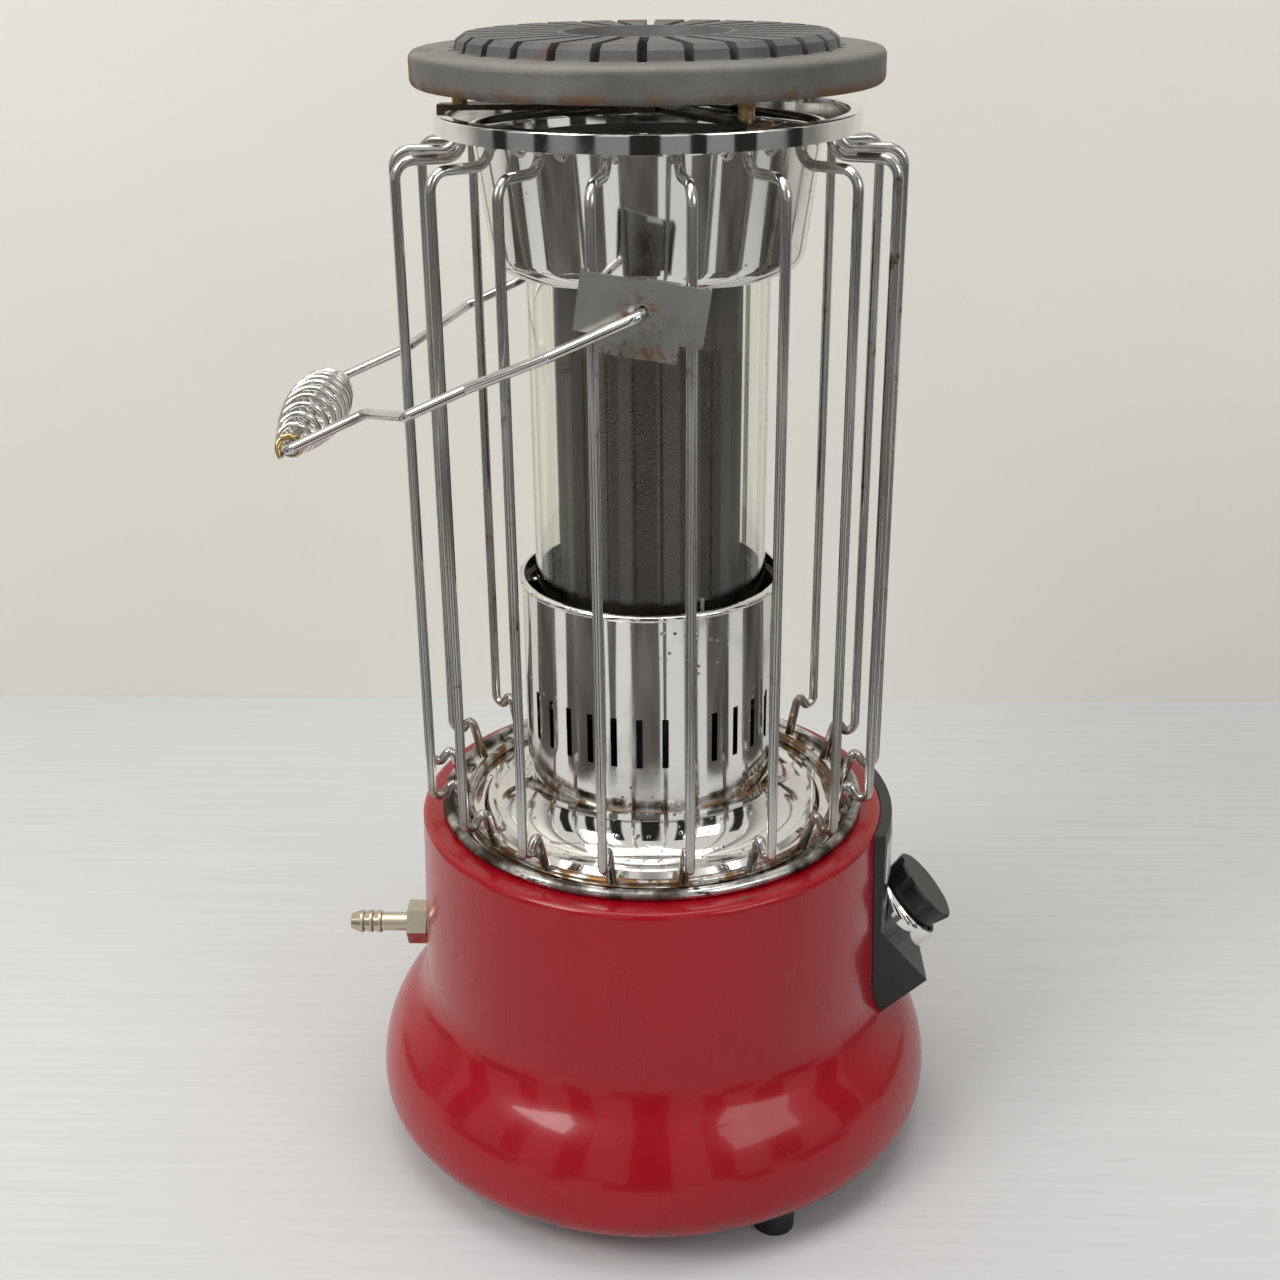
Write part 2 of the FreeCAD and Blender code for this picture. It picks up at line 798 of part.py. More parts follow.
def make_burner_column():
    """Mesh, its cap and the glass chimney, all standing on the bowl."""
    inner = size.mesh_radius - size.mesh_sheet
    revolve("burner_mesh", [
        (inner, MESH_FOOT), (size.mesh_radius, MESH_FOOT), (size.mesh_radius, MESH_TOP), (inner, MESH_TOP),
    ])
    skirt = size.mesh_radius + size.clearance
    skirt_outer = skirt + size.cap_sheet
    revolve("burner_cap", [
        (0, MESH_TOP), (skirt, MESH_TOP), (skirt, MESH_TOP - size.cap_skirt),
        (skirt_outer, MESH_TOP - size.cap_skirt), (skirt_outer, MESH_TOP + size.cap_sheet),
        (0, MESH_TOP + size.cap_sheet),
    ])
    bore = size.glass_radius - size.glass_wall
    top = GLASS_SHELF + size.glass_height
    revolve("glass_tube", [
        (bore, GLASS_SHELF), (size.glass_radius, GLASS_SHELF), (size.glass_radius, top), (bore, top),
    ])


def make_reflector():
    bottom = CUP_BOTTOM
    gauge = size.cup_sheet
    waist = bottom + size.cup_waist_height
    mouth = bottom + size.cup_mouth_height
    revolve("reflector_cup", [
        (size.cup_opening, bottom), (size.cup_floor_radius, bottom),
        (size.cup_waist_radius, waist, size.cup_bend),
        (size.cup_mouth_radius, mouth),
        (size.cup_mouth_radius + size.brim_bend, BRIM, -size.brim_bend),
        (size.brim_radius, BRIM), (size.brim_radius, BRIM_TOP),
        (size.cup_mouth_radius + size.brim_bend - gauge, BRIM_TOP),
        (size.cup_mouth_radius - gauge, mouth, size.brim_bend + gauge),
        (size.cup_waist_radius - gauge, waist),
        (size.cup_floor_radius, CUP_FLOOR, -(size.cup_bend - gauge)),
        (size.cup_opening, CUP_FLOOR),
    ])
    inner = size.brim_radius + size.clearance
    outer = inner + size.ring_sheet
    lip = inner - size.ring_lip
    revolve("rim_ring", [
        (inner, BRIM - 0.5), (outer, BRIM - 0.5), (outer, RING_TOP - 1), (outer - 1, RING_TOP, Size(1)),
        (lip, RING_TOP), (lip, RING_TOP - 1), (inner, RING_TOP - 1),
    ])
    seat = size.cup_opening + size.seat_sheet
    revolve("glass_seat", [
        (seat, CUP_FLOOR), (seat + size.seat_sheet, CUP_FLOOR),
        (seat + size.seat_sheet, CUP_FLOOR + size.seat_height), (seat, CUP_FLOOR + size.seat_height),
    ])


def make_top_spider():
    body = new_body("top_spider")
    reach = size.brim_radius
    half = size.arm_width / 2
    pad(body, "hub", "XY_Plane", lambda s: circle(s, 0, 0, size.hub_radius), size.arm_sheet)
    arm = pad(body, "arm", "XY_Plane", lambda s: rectangle(s, 0, -half, reach, half), size.arm_sheet)
    repeat(body, "arm", arm, size.arm_count)
    place(body, (0, 0, RING_TOP), Vector(0, 0, 1), size.arm_angle + 180)


def make_grate_posts():
    posts = []
    height = (size.grate_gap + size.grate_rim - size.grate_web).value
    for number in range(int(size.arm_count.value)):
        x, y = on_circle(size.post_circle, size.arm_angle + Size(360) / size.arm_count * number)
        base = Vector(x.value, y.value, SPIDER_TOP.value)
        posts.append(round_bar(base, Vector(0, 0, 1), size.post_radius.value, height))
    feature("grate_posts", Part.makeCompound(posts))


def make_top_grate():
    edge = size.grate_edge
    top = GRATE_BOTTOM + size.grate_rim
    rim_in = size.grate_radius - size.grate_rim_width
    web = top - size.grate_web
    crown = top + size.crown_height
    chamfer = size.crown_chamfer
    body = revolve("top_grate", [
        (0, web), (rim_in, web), (rim_in, GRATE_BOTTOM), (size.grate_radius - edge, GRATE_BOTTOM),
        (size.grate_radius, GRATE_BOTTOM + edge, edge), (size.grate_radius, top - edge),
        (size.grate_radius - edge, top, edge), (size.crown_outer, top),
        (size.crown_outer - chamfer / 2, crown - chamfer), (size.crown_outer - 2 * chamfer, crown),
        (size.crown_inner + chamfer, crown), (size.crown_inner, top), (0, top),
    ])
    half = size.grate_slot_width / 2
    pocket(body, "grate_slot", "XY_Plane",
           lambda s: rectangle(s, size.grate_slot_inner, -half, size.grate_slot_outer, half),
           crown - GRATE_BOTTOM + 2, offset=crown + 1, copies=size.grate_slot_count)


def make_guard_bars():
    """Bent wires from the brim down to the hoop on the tray; each bend is one mitred run."""
    wire = GUARD_HALF
    hook = size.hoop_radius + GUARD_HALF + size.clearance
    hoop_top = size.body_height + size.guard_wire - 2 * size.clearance
    stub = size.guard_stub_bend
    shoulder = size.guard_shoulder_bend
    half_run = size.guard_heel_run / 2
    step = Size(360) / size.guard_bars
    for number in range(int(size.guard_bars.value)):
        label = f"guard_bar_{number + 1:02d}"
        body = new_body(label)
        path = new_sketch(body, f"{label}_path", "XZ_Plane")
        open_path(path, [
            (size.guard_stub_radius, BRIM), (size.guard_stub_radius, GUARD_TOP + stub),
            (size.guard_stub_radius + stub, GUARD_TOP),
            (size.guard_radius - shoulder, GUARD_TOP),
            (size.guard_radius, GUARD_TOP - shoulder),
            (size.guard_radius, GUARD_HEEL + size.guard_heel_rise),
            (size.guard_heel_radius + half_run, GUARD_HEEL),
            (size.guard_heel_radius - half_run, GUARD_HEEL),
            (size.guard_toe_radius + half_run, GUARD_TOE),
            (size.guard_toe_radius - half_run, GUARD_TOE),
            (hook, hoop_top),
        ])
        section = new_sketch(body, f"{label}_section", "XY_Plane", BRIM)
        circle(section, size.guard_stub_radius, 0, wire)
        pipe = body.newObject("PartDesign::AdditivePipe", f"{label}_pipe")
        pipe.Profile = section
        pipe.Spine = path
        pipe.Transition = "Right corner"
        body.Tip = pipe
        place(body, (0, 0, 0), Vector(0, 0, 1), step * (number + 0.5) + 180)


def make_bail_bracket(label, turn):
    """A zinc plate over two guard wires; its inner face lies on them."""
    body = new_body(label)
    half = size.bracket_width / 2
    gauge = size.bracket_sheet
    top = size.bracket_height - size.bracket_drop
    bottom = -size.bracket_drop
    tongue = size.tongue_width / 2

    def plate(sketch):
        outline(sketch, [
            (-half, top), (-half, bottom), (-tongue, bottom), (-tongue, bottom - size.tongue_height),
            (tongue, bottom - size.tongue_height), (tongue, bottom), (half, bottom), (half, top),
        ])
        circle(sketch, 0, 0, size.bail_wire_size / 2 + size.pivot_play)

    pad(body, f"{label}_plate", "YZ_Plane", plate, gauge)
    for name, left in (("left", -half), ("right", half - gauge)):
        pad(body, f"{label}_{name}_flange", "YZ_Plane",
            lambda s, left=left: rectangle(s, left, bottom, left + gauge, top),
            size.bracket_flange, backwards=True)
    pad(body, f"{label}_top_lip", "YZ_Plane",
        lambda s: rectangle(s, 0, top - gauge, size.bracket_lip, top), size.bracket_flange, backwards=True)
    place(body, (0, 0, PIVOT))
    lean = Rotation(Vector(1, 0, 0), -size.bracket_tilt.value)
    spin = Rotation(Vector(0, 0, 1), turn)
    face = spin.multVec(Vector(BRACKET_FACE.value, 0, 0))
    body.Placement = Placement(face + Vector(0, 0, PIVOT.value), spin.multiply(lean))


def bail_point(side, along):
    """A point of the bail in its hanging plane: offset on X, distance from the pivots."""
    hang = size.bail_hang
    across = along * cos(hang)
    height = PIVOT - along * sin(hang)
    return Vector(side.value, across.value, height.value)


def make_bail_wire():
    reach = size.bail_reach
    inner_end = BRACKET_FACE - size.bail_head_height - 1
    arm = [
        (inner_end, as_size(0)),
        (size.bail_pivot_offset, as_size(0)),
        (size.bail_pivot_offset - size.bail_bow, reach * size.bail_bow_share),
        (size.bail_waist_offset, reach * size.bail_waist_start),
        (size.bail_waist_offset, reach * size.bail_waist_end),
        (size.bail_neck_offset, reach * size.bail_neck_share),
        (size.bail_grip_offset, reach),
    ]
    points = [bail_point(-offset, along) for offset, along in arm]
    points += [bail_point(offset, along) for offset, along in reversed(arm)]
    path = bent_wire(points, size.bail_bend.value)
    radius = size.bail_wire_size.value / 2
    wire = tube(path, points[0], Vector(1, 0, 0), radius)
    head = size.bail_head_height.value
    for end, direction in ((points[0], Vector(-1, 0, 0)), (points[-1], Vector(1, 0, 0))):
        wire = wire.fuse(round_bar(end, direction, size.bail_head.value, head))
    feature("bail_wire", wire)


def biarc_point(start, start_way, end, end_way):
    """Where two tangent arcs between two directed points meet."""
    gap = end - start
    ways = start_way + end_way
    spread = 2 * (1 - start_way.dot(end_way))
    along = gap.dot(ways)
    reach = (math.sqrt(along * along + spread * gap.dot(gap)) - along) / spread
    return (start + end + (start_way - end_way) * reach) / 2


def tangent_arc(start, way, end):
    """The arc that leaves start along way and ends at end."""
    chord = end - start
    normal = way.cross(chord).normalize()
    inward = normal.cross(way).normalize()
    radius = chord.dot(chord) / (2 * chord.dot(inward))
    centre = start + inward * radius
    middle = centre + ((start + end) / 2 - centre).normalize() * radius
    return Part.Arc(start, middle, end).toShape()


def make_grip_coil():
    """One wire wound as a barrel round the bail; its pitch shrinks along X."""
    turns = size.coil_turns.value
    length = size.coil_length.value
    wire = size.coil_wire.value
    near = size.coil_near_pitch.value
    far = size.coil_far_pitch.value
    end_radius = (size.bail_wire_size.value + wire) / 2 + size.clearance.value
    middle = bail_point(as_size(0), size.bail_reach)
    across = bail_point(as_size(0), size.bail_reach + 1) - middle
    upward = Vector(1, 0, 0).cross(across)

    def point(share):
        travel = (near * share + (far - near) * share * share / 2) / ((near + far) / 2)
        radius = end_radius + (size.coil_radius.value - end_radius) * math.sin(math.pi * share)
        angle = 2 * math.pi * turns * share
        ring = across * math.cos(angle) + upward * math.sin(angle)
        return middle + Vector((travel - 0.5) * length, 0, 0) + ring * radius

    def way(share):
        step = 1e-5
        return (point(min(share + step, 1)) - point(max(share - step, 0))).normalize()

    quarters = int(turns * 4)
    edges = [Part.LineSegment(point(0) - way(0) * wire, point(0)).toShape()]
    for number in range(quarters):
        start, end = number / quarters, (number + 1) / quarters
        meet = biarc_point(point(start), way(start), point(end), way(end))
        edges.append(tangent_arc(point(start), way(start), meet))
        back = tangent_arc(point(end), way(end) * -1, meet)
        edges.append(back.reversed())
    edges.append(Part.LineSegment(point(1), point(1) + way(1) * wire).toShape())
    path = Part.Wire(edges)
    coil = tube(path, point(0) - way(0) * wire, way(0), wire / 2)
    feature("grip_coil", coil)
    samples = [point(number / (quarters * 6)) for number in range(quarters * 6 + 1)]
    gaps = [
        (a - b).Length - wire
        for index, a in enumerate(samples)
        for b in samples[index + 12:]
    ]
    print(f"grip coil: least gap to itself {min(gaps):.2f} mm")


def hexagon(sketch, hole):
    """Outline of the inlet's hexagon or nut, with its hole."""
    corner = size.hex_across / 2 / cos(Size(30))
    outline(sketch, [(corner * cos(60 * number), corner * sin(60 * number)) for number in range(6)])
    circle(sketch, 0, 0, hole)


def make_gas_inlet():
    """Hose nipple along its own Z, then laid on +Y."""
    face = WALL_AT_INLET + size.clearance
    thread_end = WALL_AT_INLET - size.sheet_metal - size.inlet_nut_thick - size.inlet_thread_rest
    hex_end = face + size.hex_length
    neck_end = hex_end + size.inlet_neck_length
    first_land = neck_end + size.barb_pitch - size.barb_land
    corners = [(size.inlet_bore, thread_end), (size.thread_radius, thread_end), (size.thread_radius, hex_end),
               (size.inlet_neck, hex_end), (size.inlet_neck, first_land - size.barb_land / 2)]
    for number in range(int(size.barb_count.value)):
        land = first_land + size.barb_pitch * number
        corners += [(size.barb_radius, land), (size.barb_radius, land + size.barb_land)]
        if number < int(size.barb_count.value) - 1:
            corners += [(size.inlet_neck, land + size.barb_pitch - size.barb_undercut)]
    tip = first_land + size.barb_pitch * (size.barb_count - 1) + size.barb_land + size.inlet_nose
    corners += [(size.inlet_bore + 1, tip), (size.inlet_bore, tip)]
    body = revolve("gas_inlet", corners)
    pad(body, "inlet_hexagon", "XY_Plane", lambda s: hexagon(s, size.thread_radius),
        size.hex_length, offset=face)
    place(body, (0, 0, size.inlet_height), Vector(1, 0, 0), -90)
    nut = new_body("inlet_nut")
    nut_end = WALL_AT_INLET - size.sheet_metal - size.inlet_nut_gap
    pad(nut, "nut_blank", "XY_Plane", lambda s: hexagon(s, size.thread_radius + size.seat_gap),
        size.inlet_nut_thick, offset=nut_end - size.inlet_nut_thick)
    place(nut, (0, 0, size.inlet_height), Vector(1, 0, 0), -90)


def to_vector(point):
    return Vector(*[as_size(number).value for number in point])


def make_pipes():
    radius = size.pipe_radius.value
    bend = size.pipe_bend.value
    middle = -(size.valve_length / 2) - size.valve_neck_height - size.panel_wall - size.bracket_sheet
    side = size.valve_radius
    inlet_end = WALL_AT_INLET - size.sheet_metal - size.inlet_nut_thick - size.inlet_thread_rest
    valve_left = to_vector(knob_point(middle, side=-side))
    valve_right = to_vector(knob_point(middle, side=side))
    entry = Vector(0, inlet_end.value, size.inlet_height.value)
    supply = [
        entry, entry + Vector(0, -16, 0), *[Vector(*point) for point in SUPPLY_ROUTE],
        valve_left + Vector(-22, 0, 0), valve_left,
    ]
    low = size.injector_bottom.value + size.injector_radius.value
    stop = Vector(1, -1, 0).normalize() * (size.injector_radius.value + 0.1) + Vector(0, 0, low)
    burner = [valve_right, valve_right + Vector(18, 0, 0), Vector(28, -28, low), stop]
    for label, points in (("supply_pipe", supply), ("burner_pipe", burner)):
        direction = points[1] - points[0]
        shape = tube(bent_wire(points, bend), points[0], direction, radius, radius * 0.7)
        feature(label, shape)


def make_burner_feed():
    top = MESH_FOOT + size.tube_rise
    bottom = size.tube_bottom
    wall = size.tube_wall
    revolve("mixing_tube", [
        (size.tube_radius + size.tube_flare, bottom), (size.tube_radius, bottom + 4 * size.tube_flare),
        (size.tube_radius, top), (size.tube_radius - wall, top),
        (size.tube_radius - wall, bottom + 4 * size.tube_flare),
        (size.tube_radius + size.tube_flare - wall, bottom),
    ])
    foot = size.injector_bottom
    shoulder = foot + size.injector_height
    revolve("injector", [
        (0, foot), (size.injector_radius, foot), (size.injector_radius, shoulder),
        (size.nozzle_radius, shoulder), (size.nozzle_radius, shoulder + size.nozzle_height),
        (0, shoulder + size.nozzle_height),
    ])
    low = CERAMIC_BOTTOM
    high = low + size.ceramic_height
    electrode = revolve("electrode", [
        (0, low), (size.ceramic_radius, low), (size.ceramic_radius, high), (size.electrode_wire, high),
        (size.electrode_wire, high + size.electrode_tip), (0, high + size.electrode_tip),
    ])
    place(electrode, (*on_circle(size.electrode_circle, size.foot_angle), 0))


def make_valve():
    """Valve parts, each turned about the knob's axis."""
    bracket = -size.panel_wall - size.bracket_sheet
    neck_end = bracket - size.valve_neck_height
    bottom = neck_end - size.valve_length
    cavity_top = neck_end - size.valve_wall
    cavity_bottom = bottom + size.valve_wall
    cavity = size.valve_radius - size.valve_wall
    bore = size.spindle_radius + size.clearance
    body = revolve("gas_valve", [
        (bore, bracket), (size.valve_neck_radius, bracket), (size.valve_neck_radius, neck_end),
        (size.valve_radius, neck_end), (size.valve_radius, bottom), (0, bottom), (0, cavity_bottom),
        (cavity, cavity_bottom), (cavity, cavity_top), (bore, cavity_top),
    ])
    place_on_knob_axis(body)
    play = size.rotor_play
    rotor = revolve("valve_rotor", [
        (bore, cavity_bottom + play), (cavity - play, cavity_bottom + play),
        (cavity - play, cavity_top - play), (bore, cavity_top - play),
    ])
    place_on_knob_axis(rotor)
    spindle = revolve("valve_spindle", [
        (0, -size.spindle_reach), (size.spindle_radius, -size.spindle_reach),
        (size.spindle_radius, size.knob_gap + size.spindle_socket),
        (0, size.knob_gap + size.spindle_socket),
    ])
    place_on_knob_axis(spindle)
    igniter = revolve("igniter", [
        (0, bottom), (size.igniter_radius, bottom), (size.igniter_radius, bottom - size.igniter_length * 0.6),
        (size.igniter_radius * 0.6, bottom - size.igniter_length * 0.7),
        (size.igniter_radius * 0.6, bottom - size.igniter_length), (0, bottom - size.igniter_length),
    ])
    place_on_knob_axis(igniter)
    make_valve_bracket(bracket)
    make_igniter_lead(bottom - size.igniter_length)


def make_valve_bracket(level):
    body = new_body("valve_bracket")
    half = size.bracket_plate_width / 2
    deep = size.bracket_plate_depth / 2

    def plate(sketch):
        rectangle(sketch, -half, -deep, half, deep)
        circle(sketch, 0, 0, size.spindle_radius + size.clearance)
        for side in (-1, 1):
            circle(sketch, size.bracket_screw_spread * side, 0,
                   size.bracket_screw_radius + size.hole_clearance)

    pad(body, "bracket_blank", "XY_Plane", plate, size.bracket_sheet, offset=level)
    place_on_knob_axis(body)
    way = to_vector(knob_point(as_size(1))) - to_vector(knob_point(as_size(0)))
    screws = []
    for side in (-1, 1):
        seat = to_vector(knob_point(level, side=size.bracket_screw_spread * side))
        head = round_bar(seat, way * -1, size.bracket_screw_radius.value * 2, 2)
        shank = round_bar(seat, way, size.bracket_screw_radius.value,
                          size.bracket_sheet.value + size.panel_wall.value - 0.5)
        screws.append(head.fuse(shank))
    feature("bracket_screws", Part.makeCompound(screws))


def make_igniter_lead(level):
    start = to_vector(knob_point(level))
    way = (start - to_vector(knob_point(level + 1))).normalize()
    x, y = on_circle(size.electrode_circle, size.foot_angle)
    foot = Vector(x.value, y.value, CERAMIC_BOTTOM.value)
    points = [
        start, start + way * 10, Vector(*LEAD_CORNER),
        Vector(foot.x, foot.y, 92), foot,
    ]
    radius = size.lead_radius.value
    feature("igniter_lead", tube(bent_wire(points, radius * 4), points[0], way, radius))


def knob_box(name, half_width, low, high, bottom, top):
    """A box lined up with the knob's axis: low and high run up the slope."""
    block = primitive("Box", name, Length=2 * half_width, Width=high - low, Height=top - bottom)
    return place(block, knob_point(bottom, low, -half_width), Vector(1, 0, 0), size.knob_lean)


def knob_cylinder(name, radius, bottom, top, side=0):
    rod = primitive("Cylinder", name, Radius=radius, Height=top - bottom)
    return place(rod, knob_point(bottom, side=as_size(side)), Vector(1, 0, 0), size.knob_lean)


def upright(name, radius, bottom, height):
    rod = primitive("Cylinder", name, Radius=radius, Height=height)
    return place(rod, (0, 0, bottom))


def front_block(name, width, bottom, height):
    """A box from the axis to the front, used to trim round pieces."""
    block = primitive("Box", name, Length=width, Width=2 * size.panel_radius, Height=height)
    return place(block, (-(width / 2), -2 * size.panel_radius, bottom))


def make_control_panel():
    """Curved housing on the wall, with a hollow sloped chin and the knob's pocket."""
    half = size.panel_width / 2
    wall = size.panel_wall
    height = PANEL_TOP - size.wedge_bottom
    deep = 2 * size.wedge_reach
    zero = as_size(0)
    envelope = revolve("body_envelope", shell_outside(size.clearance) + [
        (0, size.foot_height), (0, size.body_height),
    ])
    parts.remove(envelope)
    curve = combine("Common", "panel_curve",
                    upright("panel_round", size.panel_radius, size.wedge_bottom, height),
                    front_block("panel_trim", size.panel_width, size.wedge_bottom, height))
    chin = knob_box("chin_block", half, -size.wedge_reach, size.knob_out / 3, -deep, zero)
    housing = combine("Fuse", "panel_blank", curve, chin)
    housing = combine("Cut", "panel_on_wall", housing, envelope)
    inside = knob_box("chin_inside", half - wall, wall - size.wedge_reach, size.knob_out / 3, -deep, -wall)
    housing = combine("Cut", "panel_hollow", housing, inside)
    cup = combine("Common", "pocket_cup",
                  knob_cylinder("cup_blank", size.pocket_radius + size.pocket_wall, -wall, size.pocket_radius),
                  upright("cup_limit", size.panel_radius - 0.1, size.wedge_bottom, height))
    housing = combine("Fuse", "panel_with_cup", housing, cup)
    hole = size.bracket_screw_radius + size.hole_clearance
    reach = size.bracket_screw_spread
    tools = [
        knob_cylinder("pocket_room", size.pocket_radius, zero, 2 * size.pocket_radius),
        knob_cylinder("spindle_hole", size.spindle_radius + size.clearance, -2 * wall, wall),
        knob_cylinder("left_screw_hole", hole, -2 * wall, -0.3, -reach),
        knob_cylinder("right_screw_hole", hole, -2 * wall, -0.3, reach),
    ]
    for number, tool in enumerate(tools, start=1):
        housing = combine("Cut", f"panel_cut_{number}", housing, tool)
    housing.Label = "control_panel"
    parts.append(housing)


def make_face_plate():
    inner = size.panel_radius + 0.05
    bottom = size.face_plate_bottom
    height = size.face_plate_height
    band = combine("Cut", "face_plate_band",
                   upright("face_plate_outer", inner + size.face_plate_sheet, bottom, height),
                   upright("face_plate_inner", inner, bottom, height))
    plate = combine("Common", "face_plate", band,
                    front_block("face_plate_trim", size.face_plate_width, bottom, height))
    parts.append(plate)


def make_bezel_and_knob():
    bezel = revolve("knob_bezel", [
        (size.bezel_bore, 0), (size.bezel_radius, 0), (size.bezel_radius, size.bezel_height * 0.6),
        (size.bezel_top_radius, size.bezel_height, Size(5)), (size.bezel_bore, size.bezel_height),
    ])
    place_on_knob_axis(bezel)
    gap = size.knob_gap
    skirt_top = gap + size.knob_skirt_height
    face = size.knob_length
    edge = size.knob_edge
    bore = size.spindle_radius
    knob = revolve("knob", [
        (bore, gap), (size.knob_skirt, gap), (size.knob_skirt, skirt_top),
        (size.knob_waist, skirt_top + 1), (size.knob_face, face - edge),
        (size.knob_face - edge, face, edge), (0, face), (0, gap + size.spindle_socket),
        (bore, gap + size.spindle_socket),
    ])
    centre = size.knob_face + size.flute_radius - size.flute_depth
    pocket(knob, "flute", "XY_Plane", lambda s: circle(s, centre, 0, size.flute_radius),
           face - skirt_top - 1, offset=face + 0.5, copies=size.flute_count)
    place_on_knob_axis(knob)


def make_bail_brackets():
    make_bail_bracket("bail_bracket_far", 0)
    make_bail_bracket("bail_bracket_near", 180)


STEPS = [
    make_base_shell, make_base_plate, make_feet, make_foot_screws, make_tray, make_guard_hoop,
    make_burner_collar, make_collar_screws, make_burner_bowl, make_burner_column, make_reflector,
    make_top_spider, make_grate_posts, make_top_grate, make_guard_bars, make_bail_brackets,
    make_bail_wire, make_grip_coil, make_gas_inlet, make_pipes, make_burner_feed, make_valve,
    make_control_panel, make_face_plate, make_bezel_and_knob,
]
for step in STEPS:
    step()
    doc.recompute()

for thing in doc.Objects:
    if {"Invalid", "Error"} & set(thing.State):
        raise RuntimeError(f"{thing.Label} failed: {thing.State}")
os.makedirs("parts", exist_ok=True)
for part in parts:
    shape = part.Shape
    if shape.isNull() or not shape.isValid() or not shape.Solids:
        raise RuntimeError(f"{part.Label} has no sound solid")
    shape.exportStep(f"parts/{part.Label}.step")
print(f"{len(parts)} parts written")
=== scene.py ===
"""Looks of a portable propane heater: enamel, chrome, wire, mesh, glass and cast iron.

The numbers inside a finish are the scales, thresholds and colours of its textures.
"""
import math

import bmesh
import bpy
from mathutils import Matrix, Vector


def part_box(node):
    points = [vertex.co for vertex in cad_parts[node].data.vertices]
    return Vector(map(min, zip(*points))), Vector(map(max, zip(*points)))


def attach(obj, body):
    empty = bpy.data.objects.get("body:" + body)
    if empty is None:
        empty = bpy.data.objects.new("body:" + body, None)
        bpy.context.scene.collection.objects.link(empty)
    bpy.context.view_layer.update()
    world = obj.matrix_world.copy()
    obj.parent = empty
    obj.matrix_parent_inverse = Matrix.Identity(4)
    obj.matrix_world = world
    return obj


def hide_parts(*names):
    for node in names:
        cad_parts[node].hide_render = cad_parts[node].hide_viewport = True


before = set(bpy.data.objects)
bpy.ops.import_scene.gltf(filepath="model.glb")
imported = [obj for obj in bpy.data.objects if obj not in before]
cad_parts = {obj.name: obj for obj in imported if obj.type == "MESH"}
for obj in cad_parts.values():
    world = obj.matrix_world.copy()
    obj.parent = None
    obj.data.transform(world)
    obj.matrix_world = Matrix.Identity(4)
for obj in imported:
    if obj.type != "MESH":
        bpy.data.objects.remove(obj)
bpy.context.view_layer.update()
MM = 0.001

# Camera, solved from the photograph: pixels, millimetres of sensor, metres, then degrees
FOCAL_PIXELS = 1732.6
FRAME_PIXELS = 1280
SENSOR = 36.0
CAMERA_PLACE = Vector((-0.6898, -0.01686, 0.5268))
CAMERA_PITCH = 22.93
CAMERA_HEADING = 1.79
CAMERA_ROLL = -0.516

# The surroundings, in metres
WALL_PLACE = 0.445
WALL_HEIGHT = 3.0
STAGE_REACH = 12.0

# Dark cards that stand round the heater: heading from +X in degrees, width, bottom and top
CARD_DISTANCE = 2.0
CARDS = [
    (180.0, 0.55, 0.0, 2.2), (207.0, 0.30, 0.0, 2.2), (150.0, 0.35, 0.0, 2.2), (232.0, 0.45, 0.1, 2.0),
    (126.0, 0.30, 0.1, 2.0), (262.0, 0.40, 0.0, 1.8), (100.0, 0.35, 0.0, 1.8), (292.0, 0.30, 0.0, 1.6),
    (70.0, 0.30, 0.0, 1.6),
]

# Soft lamps, in metres: place, target, width and height, then power in watts and colour
LAMPS = {
    "key": ((-0.9, 1.1, 1.5), (0, 0, 0.25), (0.8, 0.8), 17.5, (1.0, 0.985, 0.96)),
    "fill": ((-1.1, -1.2, 1.1), (0, 0, 0.2), (0.9, 0.7), 6.0, (0.95, 0.98, 1.0)),
    "top": ((-0.05, 0.1, 1.9), (0.1, 0, 0.3), (1.4, 1.4), 15.5, (1.0, 1.0, 1.0)),
}

# The sky: the light it gives, and the colour that the camera, reflections and glass show
SKY_LIGHT = (0.95, 0.96, 1.0, 1.0)
SKY_STRENGTH = 0.40
SKY_SEEN = (0.72, 0.71, 0.68, 1.0)

# Dark wedges on the floor: reach and height in metres, then heading from +X and width in degrees
FLOOR_CARD_START = 0.42
FLOOR_CARD_END = 1.6
FLOOR_CARD_HEIGHT = 0.003
FLOOR_CARDS = [
    (176.0, 24.0), (216.0, 13.0), (241.0, 22.0), (148.0, 8.0), (118.0, 30.0), (283.0, 30.0), (325.0, 22.0),
    (76.0, 26.0), (38.0, 20.0), (2.0, 26.0),
]

# The guard's wires in millimetres; each corner is its radius from the axis, height and bend
BAR_COUNT = 18
WIRE_RADIUS = 2.0
WIRE_SIDES = 14
BEND_STEPS = 6
BAR_CORNERS = [
    (73.0, 449.4, 0.0), (73.0, 441.0, 7.0), (99.0, 441.0, 7.0), (99.0, 177.3, 3.0),
    (94.2, 175.6, 2.2), (91.0, 180.6, 2.2), (88.6, 180.4, 2.6), (83.7, 163.7, 0.0),
]

# Places and sizes that the finishes follow, in metres
SHELL_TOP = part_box("base_shell")[1][2]
TRAY_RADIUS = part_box("tray")[1][0]
TRAY_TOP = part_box("tray")[1][2]
MESH_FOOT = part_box("burner_mesh")[0][2]
MESH_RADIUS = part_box("burner_mesh")[1][0]
WEAVE_PITCH = 1.05 * MM
GRATE_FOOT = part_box("top_grate")[0][2]
GRATE_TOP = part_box("top_grate")[1][2]
BRACKET_FACE = 100.5 * MM
PIVOT_HEIGHT = 399.0 * MM

